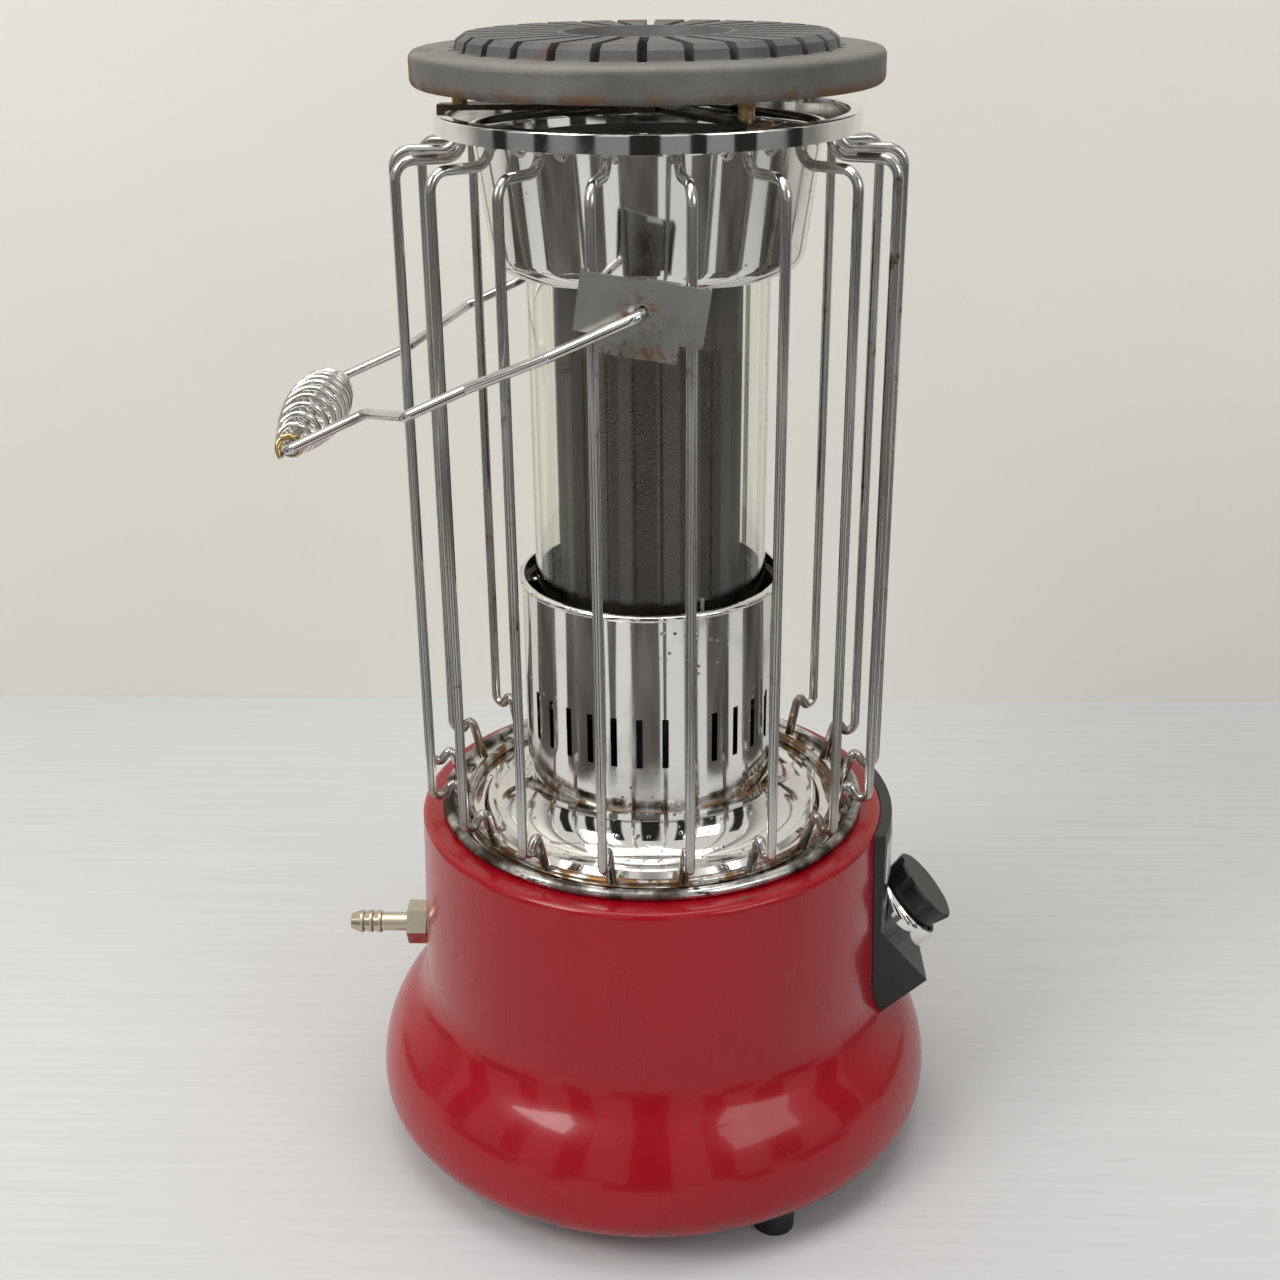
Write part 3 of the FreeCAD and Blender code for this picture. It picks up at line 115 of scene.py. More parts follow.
# Bands over which a finish changes, from none to full: heights, radii or places along X
CHIPPED_EDGE = (SHELL_TOP - 3.0 * MM, SHELL_TOP - 1.6 * MM)
SOILED_FLANGE = (30.0 * MM, 14.0 * MM)
BURNT_RIM = (TRAY_RADIUS - 7.7 * MM, TRAY_RADIUS - 4.7 * MM)
SPECKED_TRAY = (TRAY_RADIUS - 21.2 * MM, TRAY_RADIUS - 11.2 * MM)
RUSTY_GUARD_FOOT = (TRAY_TOP, TRAY_TOP - 24.0 * MM)
BARE_COIL_END = (-40.0 * MM, -49.0 * MM)
RUSTY_BRACKET_HOLE = (11.0 * MM, 2.75 * MM)
RUSTY_BRACKET_EDGE = (390.0 * MM, 385.0 * MM)
DARK_MESH_FOOT = (MESH_FOOT + 39.0 * MM, MESH_FOOT + 9.0 * MM)
GRATE_CROWN = (GRATE_TOP - 5.7 * MM, GRATE_TOP - 4.5 * MM)
GRATE_EDGE_RISE = (GRATE_TOP - 8.0 * MM, GRATE_TOP - 6.2 * MM)
GRATE_EDGE_FALL = (GRATE_TOP - 5.0 * MM, GRATE_TOP - 6.0 * MM)
GRATE_UNDERSIDE = (GRATE_FOOT + 6.0 * MM, GRATE_FOOT + 1.0 * MM)


def turn_about_axis(point, degrees):
    return Matrix.Rotation(math.radians(degrees), 3, "Z") @ point


class Finish:
    """A procedural material with short calls for the nodes that most finishes need."""

    def __init__(self, name, **values):
        self.material = bpy.data.materials.new(name)
        self.material.use_nodes = True
        self.tree = self.material.node_tree
        self.shader = self.tree.nodes["Principled BSDF"]
        self.place = self.add("ShaderNodeTexCoord").outputs["Object"]
        for socket, value in values.items():
            self.shader.inputs[socket.replace("_", " ")].default_value = value

    def add(self, kind, **settings):
        node = self.tree.nodes.new(kind)
        for key, value in settings.items():
            setattr(node, key, value)
        return node

    def link(self, source, target):
        self.tree.links.new(source, target)

    def drive(self, socket, source):
        self.link(source, self.shader.inputs[socket])

    def stretched(self, scale):
        """Object coordinates scaled per axis, so that a texture runs along one axis."""
        node = self.add("ShaderNodeMapping")
        node.inputs["Scale"].default_value = scale
        self.link(self.place, node.inputs["Vector"])
        return node.outputs["Vector"]

    def noise(self, scale, detail=4.0, roughness=0.55, vector=None):
        node = self.add("ShaderNodeTexNoise")
        node.inputs["Scale"].default_value = scale
        node.inputs["Detail"].default_value = detail
        node.inputs["Roughness"].default_value = roughness
        self.link(vector or self.place, node.inputs["Vector"])
        return node.outputs["Fac"]

    def cells(self, scale):
        node = self.add("ShaderNodeTexVoronoi", feature="F1")
        node.inputs["Scale"].default_value = scale
        self.link(self.place, node.inputs["Vector"])
        return node.outputs["Distance"]

    def math(self, operation, first, second=None):
        node = self.add("ShaderNodeMath", operation=operation)
        for index, value in enumerate((first, second)):
            if value is None:
                continue
            if isinstance(value, (int, float)):
                node.inputs[index].default_value = value
            else:
                self.link(value, node.inputs[index])
        return node.outputs[0]

    def both(self, first, second):
        """Product of two masks, or of a mask and a number."""
        return self.math("MULTIPLY", first, second)

    def ramp(self, source, *stops):
        """Maps a value to a colour; each stop is a position and a colour or grey."""
        node = self.add("ShaderNodeValToRGB")
        elements = node.color_ramp.elements
        while len(elements) < len(stops):
            elements.new(0.5)
        for element, (position, colour) in zip(elements, stops):
            element.position = position
            if isinstance(colour, (int, float)):
                colour = (colour, colour, colour)
            element.color = (*colour, 1.0)
        self.link(source, node.inputs["Fac"])
        return node.outputs["Color"]

    def step(self, source, low, high):
        """Smooth 0 to 1 between two values; falls when low is above high."""
        node = self.add("ShaderNodeMapRange", interpolation_type="SMOOTHSTEP")
        rising = low < high
        node.inputs["From Min"].default_value = min(low, high)
        node.inputs["From Max"].default_value = max(low, high)
        node.inputs["To Min"].default_value = 0.0 if rising else 1.0
        node.inputs["To Max"].default_value = 1.0 if rising else 0.0
        self.link(source, node.inputs["Value"])
        return node.outputs["Result"]

    def mix(self, share, first, second):
        node = self.add("ShaderNodeMix", data_type="RGBA")
        self.link(share, node.inputs["Factor"])
        for name, value in (("A", first), ("B", second)):
            socket = next(s for s in node.inputs if s.name == name and s.type == "RGBA")
            if isinstance(value, tuple):
                socket.default_value = (*value, 1.0)
            else:
                self.link(value, socket)
        return next(s for s in node.outputs if s.type == "RGBA")

    def blend(self, share, first, second):
        """Mixes two numbers."""
        node = self.add("ShaderNodeMix", data_type="FLOAT")
        self.link(share, node.inputs["Factor"])
        for index, value in ((2, first), (3, second)):
            if isinstance(value, (int, float)):
                node.inputs[index].default_value = value
            else:
                self.link(value, node.inputs[index])
        return node.outputs[0]

    def axis_parts(self):
        node = self.add("ShaderNodeSeparateXYZ")
        self.link(self.place, node.inputs["Vector"])
        return node.outputs["X"], node.outputs["Y"], node.outputs["Z"]

    def radius(self):
        """Distance from the burner's axis in metres."""
        x, y, _ = self.axis_parts()
        squares = self.math("ADD", self.math("MULTIPLY", x, x), self.math("MULTIPLY", y, y))
        return self.math("SQRT", squares)

    def distance_to(self, point):
        node = self.add("ShaderNodeVectorMath", operation="DISTANCE")
        self.link(self.place, node.inputs[0])
        node.inputs[1].default_value = point
        return node.outputs["Value"]

    def bump(self, height, strength, depth):
        node = self.add("ShaderNodeBump")
        node.inputs["Strength"].default_value = strength
        node.inputs["Distance"].default_value = depth
        self.link(height, node.inputs["Height"])
        self.link(node.outputs["Normal"], self.shader.inputs["Normal"])


def red_enamel():
    """Glossy enamel with a few chips, worn along its top edge and soiled low on the flange."""
    paint = Finish("red_enamel", Coat_Weight=0.35, Coat_Roughness=0.06, Specular_IOR_Level=0.25)
    cloud = paint.noise(9.0, 3.0)
    colour = paint.ramp(cloud, (0.3, (0.29, 0.0012, 0.007)), (0.7, (0.34, 0.0025, 0.010)))
    height = paint.axis_parts()[2]
    chips = paint.step(paint.cells(95.0), 0.10, 0.07)
    rare = paint.step(paint.noise(30.0, 2.0), 0.60, 0.66)
    chips = paint.both(chips, rare)
    colour = paint.mix(chips, colour, (0.16, 0.03, 0.025))
    edge = paint.both(paint.step(height, *CHIPPED_EDGE), paint.step(paint.noise(190.0), 0.67, 0.71))
    colour = paint.mix(edge, colour, (0.10, 0.035, 0.025))
    low = paint.both(paint.step(height, *SOILED_FLANGE), paint.step(paint.noise(55.0), 0.48, 0.62))
    colour = paint.mix(low, colour, (0.11, 0.04, 0.03))
    paint.drive("Base Color", colour)
    scratches = paint.noise(40.0, 5.0, 0.6, paint.stretched((1.0, 1.0, 0.25)))
    paint.drive("Roughness", paint.blend(scratches, 0.20, 0.34))
    paint.bump(paint.noise(260.0, 2.0), 0.06, 0.0004)
    return paint.material


def chrome(name, grime):
    """Plated steel with soil in patches and small pits; returns what a finish can build on."""
    dark = (0.10, 0.075, 0.05)
    tint = (0.80, 0.79, 0.77)
    metal = Finish(name, Metallic=1.0)
    cloud = metal.noise(22.0, 6.0, 0.62)
    pits = metal.both(metal.step(metal.cells(260.0), 0.22, 0.12),
                      metal.step(metal.noise(24.0, 3.0), 0.62 - 0.14 * grime, 0.72 - 0.1 * grime))
    soil = metal.both(metal.step(cloud, 0.50, 0.74), grime)
    colour = metal.mix(soil, tint, tuple(0.5 * a + 0.5 * b for a, b in zip(tint, dark)))
    colour = metal.mix(pits, colour, dark)
    metal.drive("Base Color", colour)
    rough = metal.blend(soil, 0.05 + 0.03 * grime, 0.34)
    metal.drive("Roughness", metal.blend(pits, rough, 0.7))
    metal.bump(pits, 0.25, 0.0003)
    return metal, colour, rough


def plain_chrome(name, grime):
    return chrome(name, grime)[0].material


def tray_chrome():
    """Chrome that is burnt and soiled where the rolled rim meets the body."""
    metal, colour, rough = chrome("tray_chrome", 0.45)
    radius = metal.radius()
    band = metal.both(metal.step(radius, *BURNT_RIM), metal.step(metal.noise(34.0, 5.0), 0.34, 0.58))
    colour = metal.mix(band, colour, (0.050, 0.038, 0.027))
    specks = metal.both(metal.step(metal.cells(150.0), 0.30, 0.18), metal.step(radius, *SPECKED_TRAY))
    specks = metal.both(specks, metal.step(metal.noise(40.0), 0.50, 0.56))
    colour = metal.mix(specks, colour, (0.085, 0.050, 0.028))
    metal.drive("Base Color", colour)
    metal.drive("Roughness", metal.blend(band, rough, 0.55))
    return metal.material


def wire_chrome():
    """Tarnished plating: dull along the wire, brown in places and at the foot."""
    metal = Finish("wire_chrome", Metallic=1.0)
    long_cloud = metal.noise(30.0, 5.0, 0.6, metal.stretched((1.0, 1.0, 0.22)))
    fine = metal.noise(420.0, 3.0, 0.6)
    dull = metal.step(long_cloud, 0.44, 0.70)
    colour = metal.mix(dull, (0.52, 0.51, 0.495), (0.24, 0.215, 0.19))
    rust = metal.both(metal.step(metal.noise(75.0, 6.0), 0.60, 0.72), metal.step(fine, 0.40, 0.60))
    colour = metal.mix(rust, colour, (0.19, 0.10, 0.05))
    height = metal.axis_parts()[2]
    foot = metal.both(metal.step(height, *RUSTY_GUARD_FOOT), metal.step(metal.noise(130.0), 0.40, 0.56))
    colour = metal.mix(foot, colour, (0.20, 0.11, 0.055))
    metal.drive("Base Color", colour)
    metal.drive("Roughness", metal.blend(metal.math("MAXIMUM", dull, foot), 0.14, 0.36))
    metal.bump(fine, 0.10, 0.0002)
    return metal.material


def bail_chrome():
    """The bail's plating, a little brighter than the guard's."""
    metal = Finish("bail_chrome", Metallic=1.0)
    dull = metal.step(metal.noise(38.0, 5.0), 0.46, 0.72)
    colour = metal.mix(dull, (0.62, 0.61, 0.595), (0.32, 0.295, 0.26))
    metal.drive("Base Color", colour)
    metal.drive("Roughness", metal.blend(dull, 0.12, 0.30))
    metal.bump(metal.noise(400.0), 0.06, 0.0002)
    return metal.material


def coil_chrome():
    """Bright turns; the near end has lost its chrome down to the brass colour."""
    metal = Finish("coil_chrome", Metallic=1.0)
    along = metal.axis_parts()[0]
    dull = metal.step(metal.noise(60.0, 4.0), 0.46, 0.70)
    colour = metal.mix(dull, (0.78, 0.77, 0.74), (0.46, 0.43, 0.38))
    brass = metal.step(along, *BARE_COIL_END)
    colour = metal.mix(brass, colour, (0.46, 0.34, 0.15))
    metal.drive("Base Color", colour)
    metal.drive("Roughness", metal.blend(dull, 0.10, 0.26))
    return metal.material


def zinc(name, rust_at=None):
    """Dull plated sheet with a spangle; a bracket is rusty round its hole and at its lower edge."""
    metal = Finish(name, Metallic=1.0)
    spangle = metal.cells(70.0)
    cloud = metal.noise(45.0, 5.0)
    colour = metal.ramp(spangle, (0.0, (0.40, 0.40, 0.385)), (0.8, (0.48, 0.48, 0.46)))
    stain = metal.step(cloud, 0.52, 0.72)
    colour = metal.mix(stain, colour, (0.33, 0.31, 0.275))
    speck = metal.both(metal.step(metal.cells(330.0), 0.24, 0.12), metal.step(cloud, 0.50, 0.60))
    if rust_at is not None:
        near = metal.step(metal.distance_to(rust_at), *RUSTY_BRACKET_HOLE)
        rust = metal.both(near, metal.step(metal.noise(320.0, 5.0), 0.46, 0.66))
        low = metal.step(metal.axis_parts()[2], *RUSTY_BRACKET_EDGE)
        low = metal.both(low, metal.step(metal.noise(300.0, 5.0), 0.46, 0.66))
        rust = metal.math("MAXIMUM", rust, low)
        colour = metal.mix(metal.both(rust, 0.8), colour, (0.20, 0.12, 0.06))
        speck = metal.math("MAXIMUM", speck, rust)
    colour = metal.mix(speck, colour, (0.20, 0.12, 0.07))
    metal.drive("Base Color", colour)
    metal.drive("Roughness", metal.blend(speck, 0.36, 0.75))
    metal.bump(metal.noise(160.0, 4.0), 0.12, 0.0004)
    return metal.material


def burner_mesh_finish():
    """Woven heat-darkened wire cloth; the weave follows the cylinder."""
    cloth = Finish("wire_cloth", Metallic=0.5, Specular_IOR_Level=0.3)
    x, y, z = cloth.axis_parts()
    around = cloth.math("MULTIPLY", cloth.math("ARCTAN2", y, x), MESH_RADIUS)
    pitch = 2 * math.pi / WEAVE_PITCH
    warp = cloth.math("SINE", cloth.math("MULTIPLY", around, pitch))
    weft = cloth.math("SINE", cloth.math("MULTIPLY", z, pitch))
    weave = cloth.math("MULTIPLY", warp, weft)
    thread = cloth.math("MAXIMUM", cloth.math("ABSOLUTE", warp), cloth.math("ABSOLUTE", weft))
    holes = cloth.step(thread, 0.75, 0.45)
    streak = cloth.noise(26.0, 5.0, 0.6, cloth.stretched((1.0, 1.0, 0.18)))
    colour = cloth.ramp(streak, (0.30, (0.040, 0.026, 0.019)), (0.55, (0.078, 0.053, 0.039)),
                        (0.8, (0.120, 0.088, 0.068)))
    foot = cloth.step(z, *DARK_MESH_FOOT)
    colour = cloth.mix(foot, colour, (0.065, 0.052, 0.044))
    colour = cloth.mix(holes, colour, (0.012, 0.010, 0.009))
    cloth.drive("Base Color", colour)
    cloth.drive("Roughness", cloth.blend(streak, 0.38, 0.62))
    cloth.bump(weave, 0.5, 0.0004)
    return cloth.material


def burnt_steel():
    metal = Finish("burnt_steel", Metallic=0.9)
    cloud = metal.noise(40.0, 5.0)
    metal.drive("Base Color", metal.ramp(cloud, (0.35, (0.05, 0.042, 0.036)), (0.65, (0.16, 0.125, 0.09))))
    metal.drive("Roughness", metal.blend(cloud, 0.35, 0.6))
    return metal.material


def chimney_glass():
    glass = Finish("chimney_glass", Transmission_Weight=1.0, IOR=1.47)
    haze = glass.noise(14.0, 4.0, 0.6, glass.stretched((1.0, 1.0, 0.3)))
    glass.drive("Base Color", glass.ramp(haze, (0.3, (0.97, 0.985, 0.95)), (0.75, (0.93, 0.94, 0.87))))
    glass.drive("Roughness", glass.ramp(haze, (0.45, 0.0), (0.85, 0.06)))
    return glass.material


def cast_iron():
    """Weathered iron: grey rim, darker crown, rust in patches and at the lower edge."""
    iron = Finish("cast_iron", Metallic=0.25, Specular_IOR_Level=0.35)
    height = iron.axis_parts()[2]
    cloud = iron.noise(32.0, 6.0, 0.65)
    rim = iron.ramp(cloud, (0.30, (0.105, 0.101, 0.094)), (0.70, (0.165, 0.160, 0.148)))
    crown = iron.ramp(cloud, (0.30, (0.075, 0.076, 0.078)), (0.70, (0.125, 0.125, 0.124)))
    colour = iron.mix(iron.step(height, *GRATE_CROWN), rim, crown)
    worn = iron.both(iron.step(height, *GRATE_EDGE_RISE), iron.step(height, *GRATE_EDGE_FALL))
    colour = iron.mix(iron.both(worn, 0.35), colour, (0.30, 0.28, 0.25))
    patches = iron.step(iron.noise(26.0, 6.0, 0.7), 0.55, 0.66)
    lower = iron.both(iron.step(height, *GRATE_UNDERSIDE), iron.step(iron.noise(48.0, 5.0), 0.42, 0.58))
    rust = iron.math("MAXIMUM", lower, iron.both(patches, 0.55))
    colour = iron.mix(rust, colour, (0.155, 0.085, 0.045))
    iron.drive("Base Color", colour)
    iron.drive("Roughness", iron.blend(rust, 0.58, 0.85))
    grain = iron.math("ADD", iron.noise(340.0, 4.0), iron.noise(90.0, 3.0))
    iron.bump(grain, 0.28, 0.0008)
    return iron.material


def tarnished(name, clean, foul, amount):
    """Metal whose clean colour gives way to a foul one over a share of its surface."""
    metal = Finish(name, Metallic=1.0)
    cloud = metal.noise(85.0, 5.0, 0.62)
    foulness = metal.step(cloud, 0.66 - 0.3 * amount, 0.80 - 0.2 * amount)
    metal.drive("Base Color", metal.mix(foulness, clean, foul))
    metal.drive("Roughness", metal.blend(foulness, 0.26, 0.62))
    metal.bump(metal.noise(300.0), 0.12, 0.0003)
    return metal.material


def plain_metal(name, colour, rough):
    metal = Finish(name, Metallic=1.0)
    cloud = metal.noise(70.0, 4.0)
    darker = tuple(0.75 * channel for channel in colour)
    metal.drive("Base Color", metal.mix(metal.step(cloud, 0.4, 0.7), colour, darker))
    metal.drive("Roughness", metal.blend(cloud, rough, rough + 0.15))
    return metal.material


def black_plastic():
    plastic = Finish("black_plastic", Specular_IOR_Level=0.45)
    cloud = plastic.noise(60.0, 4.0)
    plastic.drive("Base Color", plastic.ramp(cloud, (0.3, 0.012), (0.75, 0.022)))
    plastic.drive("Roughness", plastic.blend(cloud, 0.30, 0.48))
    plastic.bump(plastic.noise(900.0, 2.0), 0.10, 0.0003)
    return plastic.material


def rubber():
    soft = Finish("rubber", Specular_IOR_Level=0.3)
    cloud = soft.noise(90.0, 4.0)
    soft.drive("Base Color", soft.ramp(cloud, (0.3, 0.014), (0.8, 0.040)))
    soft.drive("Roughness", soft.blend(cloud, 0.6, 0.85))
    soft.bump(soft.noise(500.0), 0.2, 0.0004)
    return soft.material


def ceramic():
    white = Finish("ceramic", Specular_IOR_Level=0.5)
    cloud = white.noise(150.0, 4.0)
    white.drive("Base Color", white.ramp(cloud, (0.4, (0.74, 0.72, 0.66)), (0.7, (0.50, 0.44, 0.36))))
    white.drive("Roughness", white.blend(cloud, 0.22, 0.45))
    return white.material


def dress(names, material):
    """Gives carried-over nodes a finish through their material slots."""
    for name in names:
        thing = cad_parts[name]
        if not thing.material_slots:
            thing.data.materials.append(material)
        for slot in thing.material_slots:
            slot.link = "OBJECT"
            slot.material = material


def mesh_piece(name, build, body, material):
    """A new smooth piece from bmesh code, riding on a body."""
    mesh = bpy.data.meshes.new(name)
    shape = bmesh.new()
    build(shape)
    bmesh.ops.recalc_face_normals(shape, faces=shape.faces)
    shape.to_mesh(mesh)
    shape.free()
    for face in mesh.polygons:
        face.use_smooth = True
    piece = bpy.data.objects.new(name, mesh)
    bpy.context.scene.collection.objects.link(piece)
    mesh.materials.append(material)
    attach(piece, body)
    return piece


def rounded(corners):
    """Points of a flat path whose corners are arcs; each corner has its own radius."""
    points = []
    for index, (x, y, radius) in enumerate(corners):
        corner = Vector((x, y))
        if radius == 0.0:
            points.append(corner)
            continue
        back = (Vector(corners[index - 1][:2]) - corner).normalized()
        ahead = (Vector(corners[index + 1][:2]) - corner).normalized()
        half = back.angle(ahead) / 2
        reach = radius / math.tan(half)
        centre = corner + (back + ahead).normalized() * (radius / math.sin(half))
        entry = corner + back * reach
        leave = corner + ahead * reach
        first = entry - centre
        sweep = first.angle(leave - centre)
        sign = 1.0 if first.cross(leave - centre) > 0 else -1.0
        for step in range(BEND_STEPS + 1):
            turn = Matrix.Rotation(sign * sweep * step / BEND_STEPS, 2)
            points.append(centre + turn @ first)
    return points


def add_wire(shape, points, radius):
    """A round wire, closed at its ends, through points of the plane y = 0."""
    normal = Vector((0.0, 1.0, 0.0))
    rings = []
    for index, point in enumerate(points):
        before = points[max(index - 1, 0)]
        after = points[min(index + 1, len(points) - 1)]
        way = (after - before).normalized()
        side = way.cross(normal).normalized()
        ring = []
        for number in range(WIRE_SIDES):
            angle = 2 * math.pi * number / WIRE_SIDES
            offset = side * math.cos(angle) + normal * math.sin(angle)
            ring.append(shape.verts.new(point + offset * radius))
        rings.append(ring)
    for first, second in zip(rings, rings[1:]):
        for number in range(WIRE_SIDES):
            other = (number + 1) % WIRE_SIDES
            shape.faces.new((first[number], first[other], second[other], second[number]))
    shape.faces.new(rings[0])
    shape.faces.new(list(reversed(rings[-1])))


def make_guard_wires(material):
    """Smoothly bent wires in place of the ones with mitred corners."""
    path = [Vector((x * MM, 0.0, z * MM)) for x, z in rounded(BAR_CORNERS)]
    for number in range(BAR_COUNT):
        degrees = 180.0 + 360.0 / BAR_COUNT * (number + 0.5)

        def build(shape, degrees=degrees):
            add_wire(shape, path, WIRE_RADIUS * MM)
            turn = Matrix.Rotation(math.radians(degrees), 3, "Z")
            bmesh.ops.rotate(shape, verts=shape.verts, matrix=turn)

        piece = mesh_piece(f"guard_wire_{number + 1:02d}", build, "heater", material)
        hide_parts(f"guard_bar_{number + 1:02d}")


def area_light(name, place, target, size, power, colour):
    data = bpy.data.lights.new(name, "AREA")
    data.shape = "RECTANGLE"
    data.size, data.size_y = size
    data.energy = power
    data.color = colour
    lamp = bpy.data.objects.new(name, data)
    lamp.location = place
    lamp.rotation_euler = (Vector(target) - Vector(place)).to_track_quat("-Z", "Y").to_euler()
    bpy.context.scene.collection.objects.link(lamp)


def sheet(name, corners, material):
    """A flat piece of the surroundings."""
    mesh = bpy.data.meshes.new(name)
    mesh.from_pydata(corners, [], [(0, 1, 2, 3)])
    thing = bpy.data.objects.new(name, mesh)
    bpy.context.scene.collection.objects.link(thing)
    mesh.materials.append(material)
    return thing


def make_stage():
    """Pale floor, a warm wall behind the heater, the cards and the lamps."""
    ground = Finish("pale_floor", Specular_IOR_Level=0.0)
    grain = ground.noise(300.0, 2.0, 0.5, ground.stretched((1.0, 0.02, 1.0)))
    ground.drive("Base Color", ground.ramp(grain, (0.3, (0.585, 0.585, 0.58)), (0.7, (0.62, 0.62, 0.615))))
    ground.shader.inputs["Roughness"].default_value = 0.4
    far = STAGE_REACH
    sheet("floor", [(-far, -far, 0), (WALL_PLACE, -far, 0), (WALL_PLACE, far, 0), (-far, far, 0)],
          ground.material)
    paper = Finish("warm_wall", Roughness=0.7, Specular_IOR_Level=0.2)
    cloud = paper.noise(3.0, 2.0)
    paper.drive("Base Color", paper.ramp(cloud, (0.3, (0.76, 0.735, 0.66)), (0.7, (0.79, 0.765, 0.695))))
    sheet("wall", [(WALL_PLACE, -far, 0), (WALL_PLACE, far, 0),
                   (WALL_PLACE, far, WALL_HEIGHT), (WALL_PLACE, -far, WALL_HEIGHT)], paper.material)
    make_cards()
    for name, values in LAMPS.items():
        area_light(name, *values)


def make_cards():
    """Dark cards, standing and on the floor, that the camera sees in reflections, not directly."""
    dark = Finish("dark_card", Roughness=0.9, Specular_IOR_Level=0.0)
    cloud = dark.noise(2.0)
    dark.drive("Base Color", dark.ramp(cloud, (0.3, (0.020, 0.018, 0.016)), (0.7, (0.035, 0.032, 0.030))))
    for number, (heading, width, low, high) in enumerate(CARDS):
        middle = turn_about_axis(Vector((CARD_DISTANCE, 0.0, 0.0)), heading)
        along = turn_about_axis(Vector((0.0, width / 2, 0.0)), heading)
        feet = [middle - along, middle + along, middle + along, middle - along]
        corners = [(foot.x, foot.y, height) for foot, height in zip(feet, (low, low, high, high))]
        card = sheet(f"card_{number + 1}", corners, dark.material)
        card.visible_camera = card.visible_diffuse = card.visible_shadow = False
    soft = Finish("floor_card", Roughness=0.9, Specular_IOR_Level=0.0)
    cloud = soft.noise(4.0)
    soft.drive("Base Color", soft.ramp(cloud, (0.35, (0.045, 0.040, 0.036)), (0.65, (0.13, 0.12, 0.11))))
    for number, (heading, width) in enumerate(FLOOR_CARDS):
        ends = ((FLOOR_CARD_START, -1), (FLOOR_CARD_END, -1), (FLOOR_CARD_END, 1), (FLOOR_CARD_START, 1))
        corners = [turn_about_axis(Vector((reach, 0.0, FLOOR_CARD_HEIGHT)), heading + side * width / 2)
                   for reach, side in ends]
        card = sheet(f"floor_card_{number + 1}", corners, soft.material)
        card.visible_camera = card.visible_diffuse = card.visible_shadow = False
        card.visible_transmission = False


def make_world():
    """Pale surroundings for the camera, reflections and glass, and a dimmer light for the rest."""
    world = bpy.data.worlds.new("studio")
    bpy.context.scene.world = world
    world.use_nodes = True
    tree = world.node_tree
    tree.nodes.clear()
    path = tree.nodes.new("ShaderNodeLightPath")
    seen = tree.nodes.new("ShaderNodeMath")
    seen.operation = "MAXIMUM"
    tree.links.new(path.outputs["Is Camera Ray"], seen.inputs[0])
    tree.links.new(path.outputs["Is Glossy Ray"], seen.inputs[1])
    clear = tree.nodes.new("ShaderNodeMath")
    clear.operation = "MAXIMUM"
    tree.links.new(seen.outputs[0], clear.inputs[0])
    tree.links.new(path.outputs["Is Transmission Ray"], clear.inputs[1])
    light = tree.nodes.new("ShaderNodeBackground")
    light.inputs["Color"].default_value = SKY_LIGHT
    light.inputs["Strength"].default_value = SKY_STRENGTH
    pale = tree.nodes.new("ShaderNodeBackground")
    pale.inputs["Color"].default_value = SKY_SEEN
    mixed = tree.nodes.new("ShaderNodeMixShader")
    tree.links.new(clear.outputs[0], mixed.inputs["Fac"])
    tree.links.new(light.outputs[0], mixed.inputs[1])
    tree.links.new(pale.outputs[0], mixed.inputs[2])
    output = tree.nodes.new("ShaderNodeOutputWorld")
    tree.links.new(mixed.outputs[0], output.inputs["Surface"])


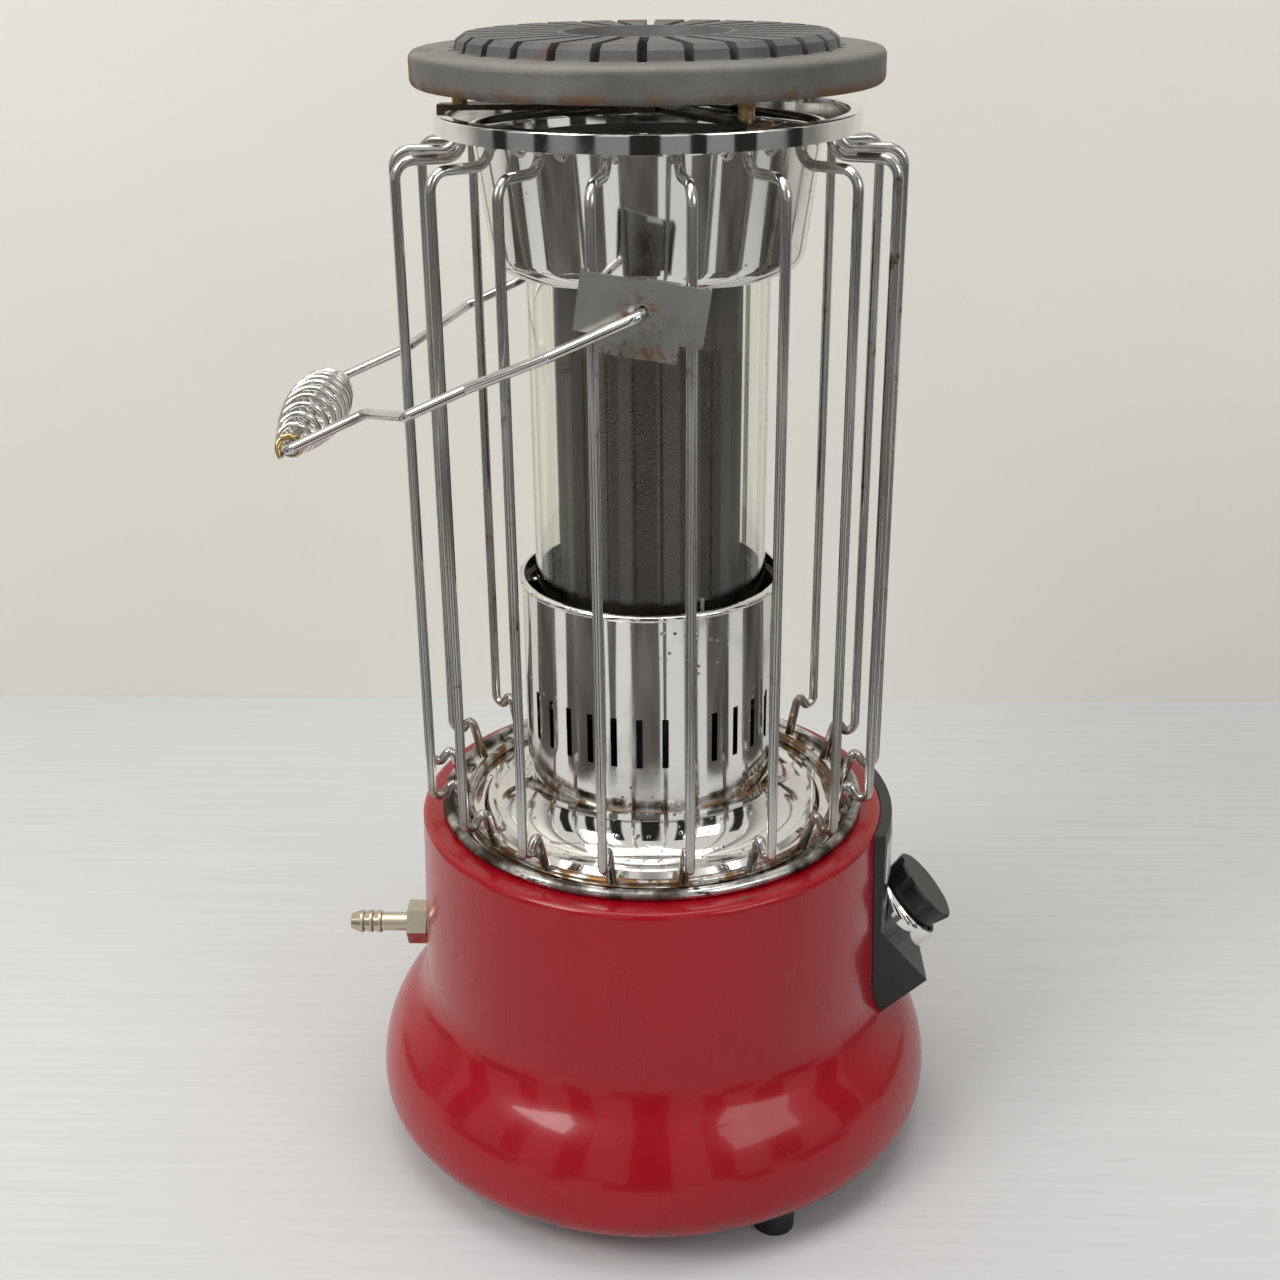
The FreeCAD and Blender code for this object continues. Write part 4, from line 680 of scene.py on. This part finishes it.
def make_camera():
    data = bpy.data.cameras.new("camera")
    data.sensor_width = SENSOR
    data.sensor_fit = "HORIZONTAL"
    data.lens = FOCAL_PIXELS / FRAME_PIXELS * SENSOR
    camera = bpy.data.objects.new("camera", data)
    heading = Matrix.Rotation(math.radians(CAMERA_HEADING - 90.0), 4, "Z")
    pitch = Matrix.Rotation(math.radians(90.0 - CAMERA_PITCH), 4, "X")
    roll = Matrix.Rotation(math.radians(CAMERA_ROLL), 4, "Z")
    camera.matrix_world = Matrix.Translation(CAMERA_PLACE) @ heading @ pitch @ roll
    bpy.context.scene.collection.objects.link(camera)
    bpy.context.scene.camera = camera


make_camera()
make_stage()
make_world()
bpy.context.scene.view_settings.view_transform = "Standard"

wire = wire_chrome()
dress(["base_shell"], red_enamel())
dress(["tray"], tray_chrome())
dress(["burner_collar"], plain_chrome("collar_chrome", 0.55))
dress(["reflector_cup"], plain_chrome("cup_chrome", 0.35))
dress(["rim_ring"], plain_chrome("ring_chrome", 0.6))
dress(["knob_bezel", "collar_screws"], plain_chrome("trim_chrome", 0.2))
dress(["guard_hoop"], wire)
dress(["bail_wire"], bail_chrome())
dress(["grip_coil"], coil_chrome())
dress(["bail_bracket_near"], zinc("near_zinc", (-BRACKET_FACE, 0.0, PIVOT_HEIGHT)))
dress(["bail_bracket_far"], zinc("far_zinc", (BRACKET_FACE, 0.0, PIVOT_HEIGHT)))
dress(["base_plate", "foot_screws", "glass_seat", "valve_bracket", "bracket_screws"], zinc("inner_zinc"))
dress(["burner_mesh"], burner_mesh_finish())
dress(["burner_cap", "burner_bowl"], burnt_steel())
dress(["glass_tube"], chimney_glass())
dress(["top_grate"], cast_iron())
dress(["top_spider"], tarnished("spider_rust", (0.09, 0.075, 0.06), (0.15, 0.075, 0.035), 0.6))
dress(["grate_posts"], tarnished("post_brass", (0.42, 0.30, 0.16), (0.20, 0.10, 0.045), 0.7))
dress(["gas_inlet", "inlet_nut"], tarnished("nickel_brass", (0.56, 0.50, 0.40), (0.30, 0.24, 0.16), 0.35))
dress(["injector", "gas_valve", "valve_rotor", "valve_spindle"],
      tarnished("valve_brass", (0.50, 0.42, 0.28), (0.22, 0.12, 0.06), 0.2))
dress(["supply_pipe", "burner_pipe", "mixing_tube", "face_plate"],
      plain_metal("drawn_aluminium", (0.70, 0.70, 0.69), 0.3))
dress(["control_panel", "knob", "igniter", "igniter_lead"], black_plastic())
dress(["foot_1", "foot_2", "foot_3"], rubber())
dress(["electrode"], ceramic())
make_guard_wires(wire)
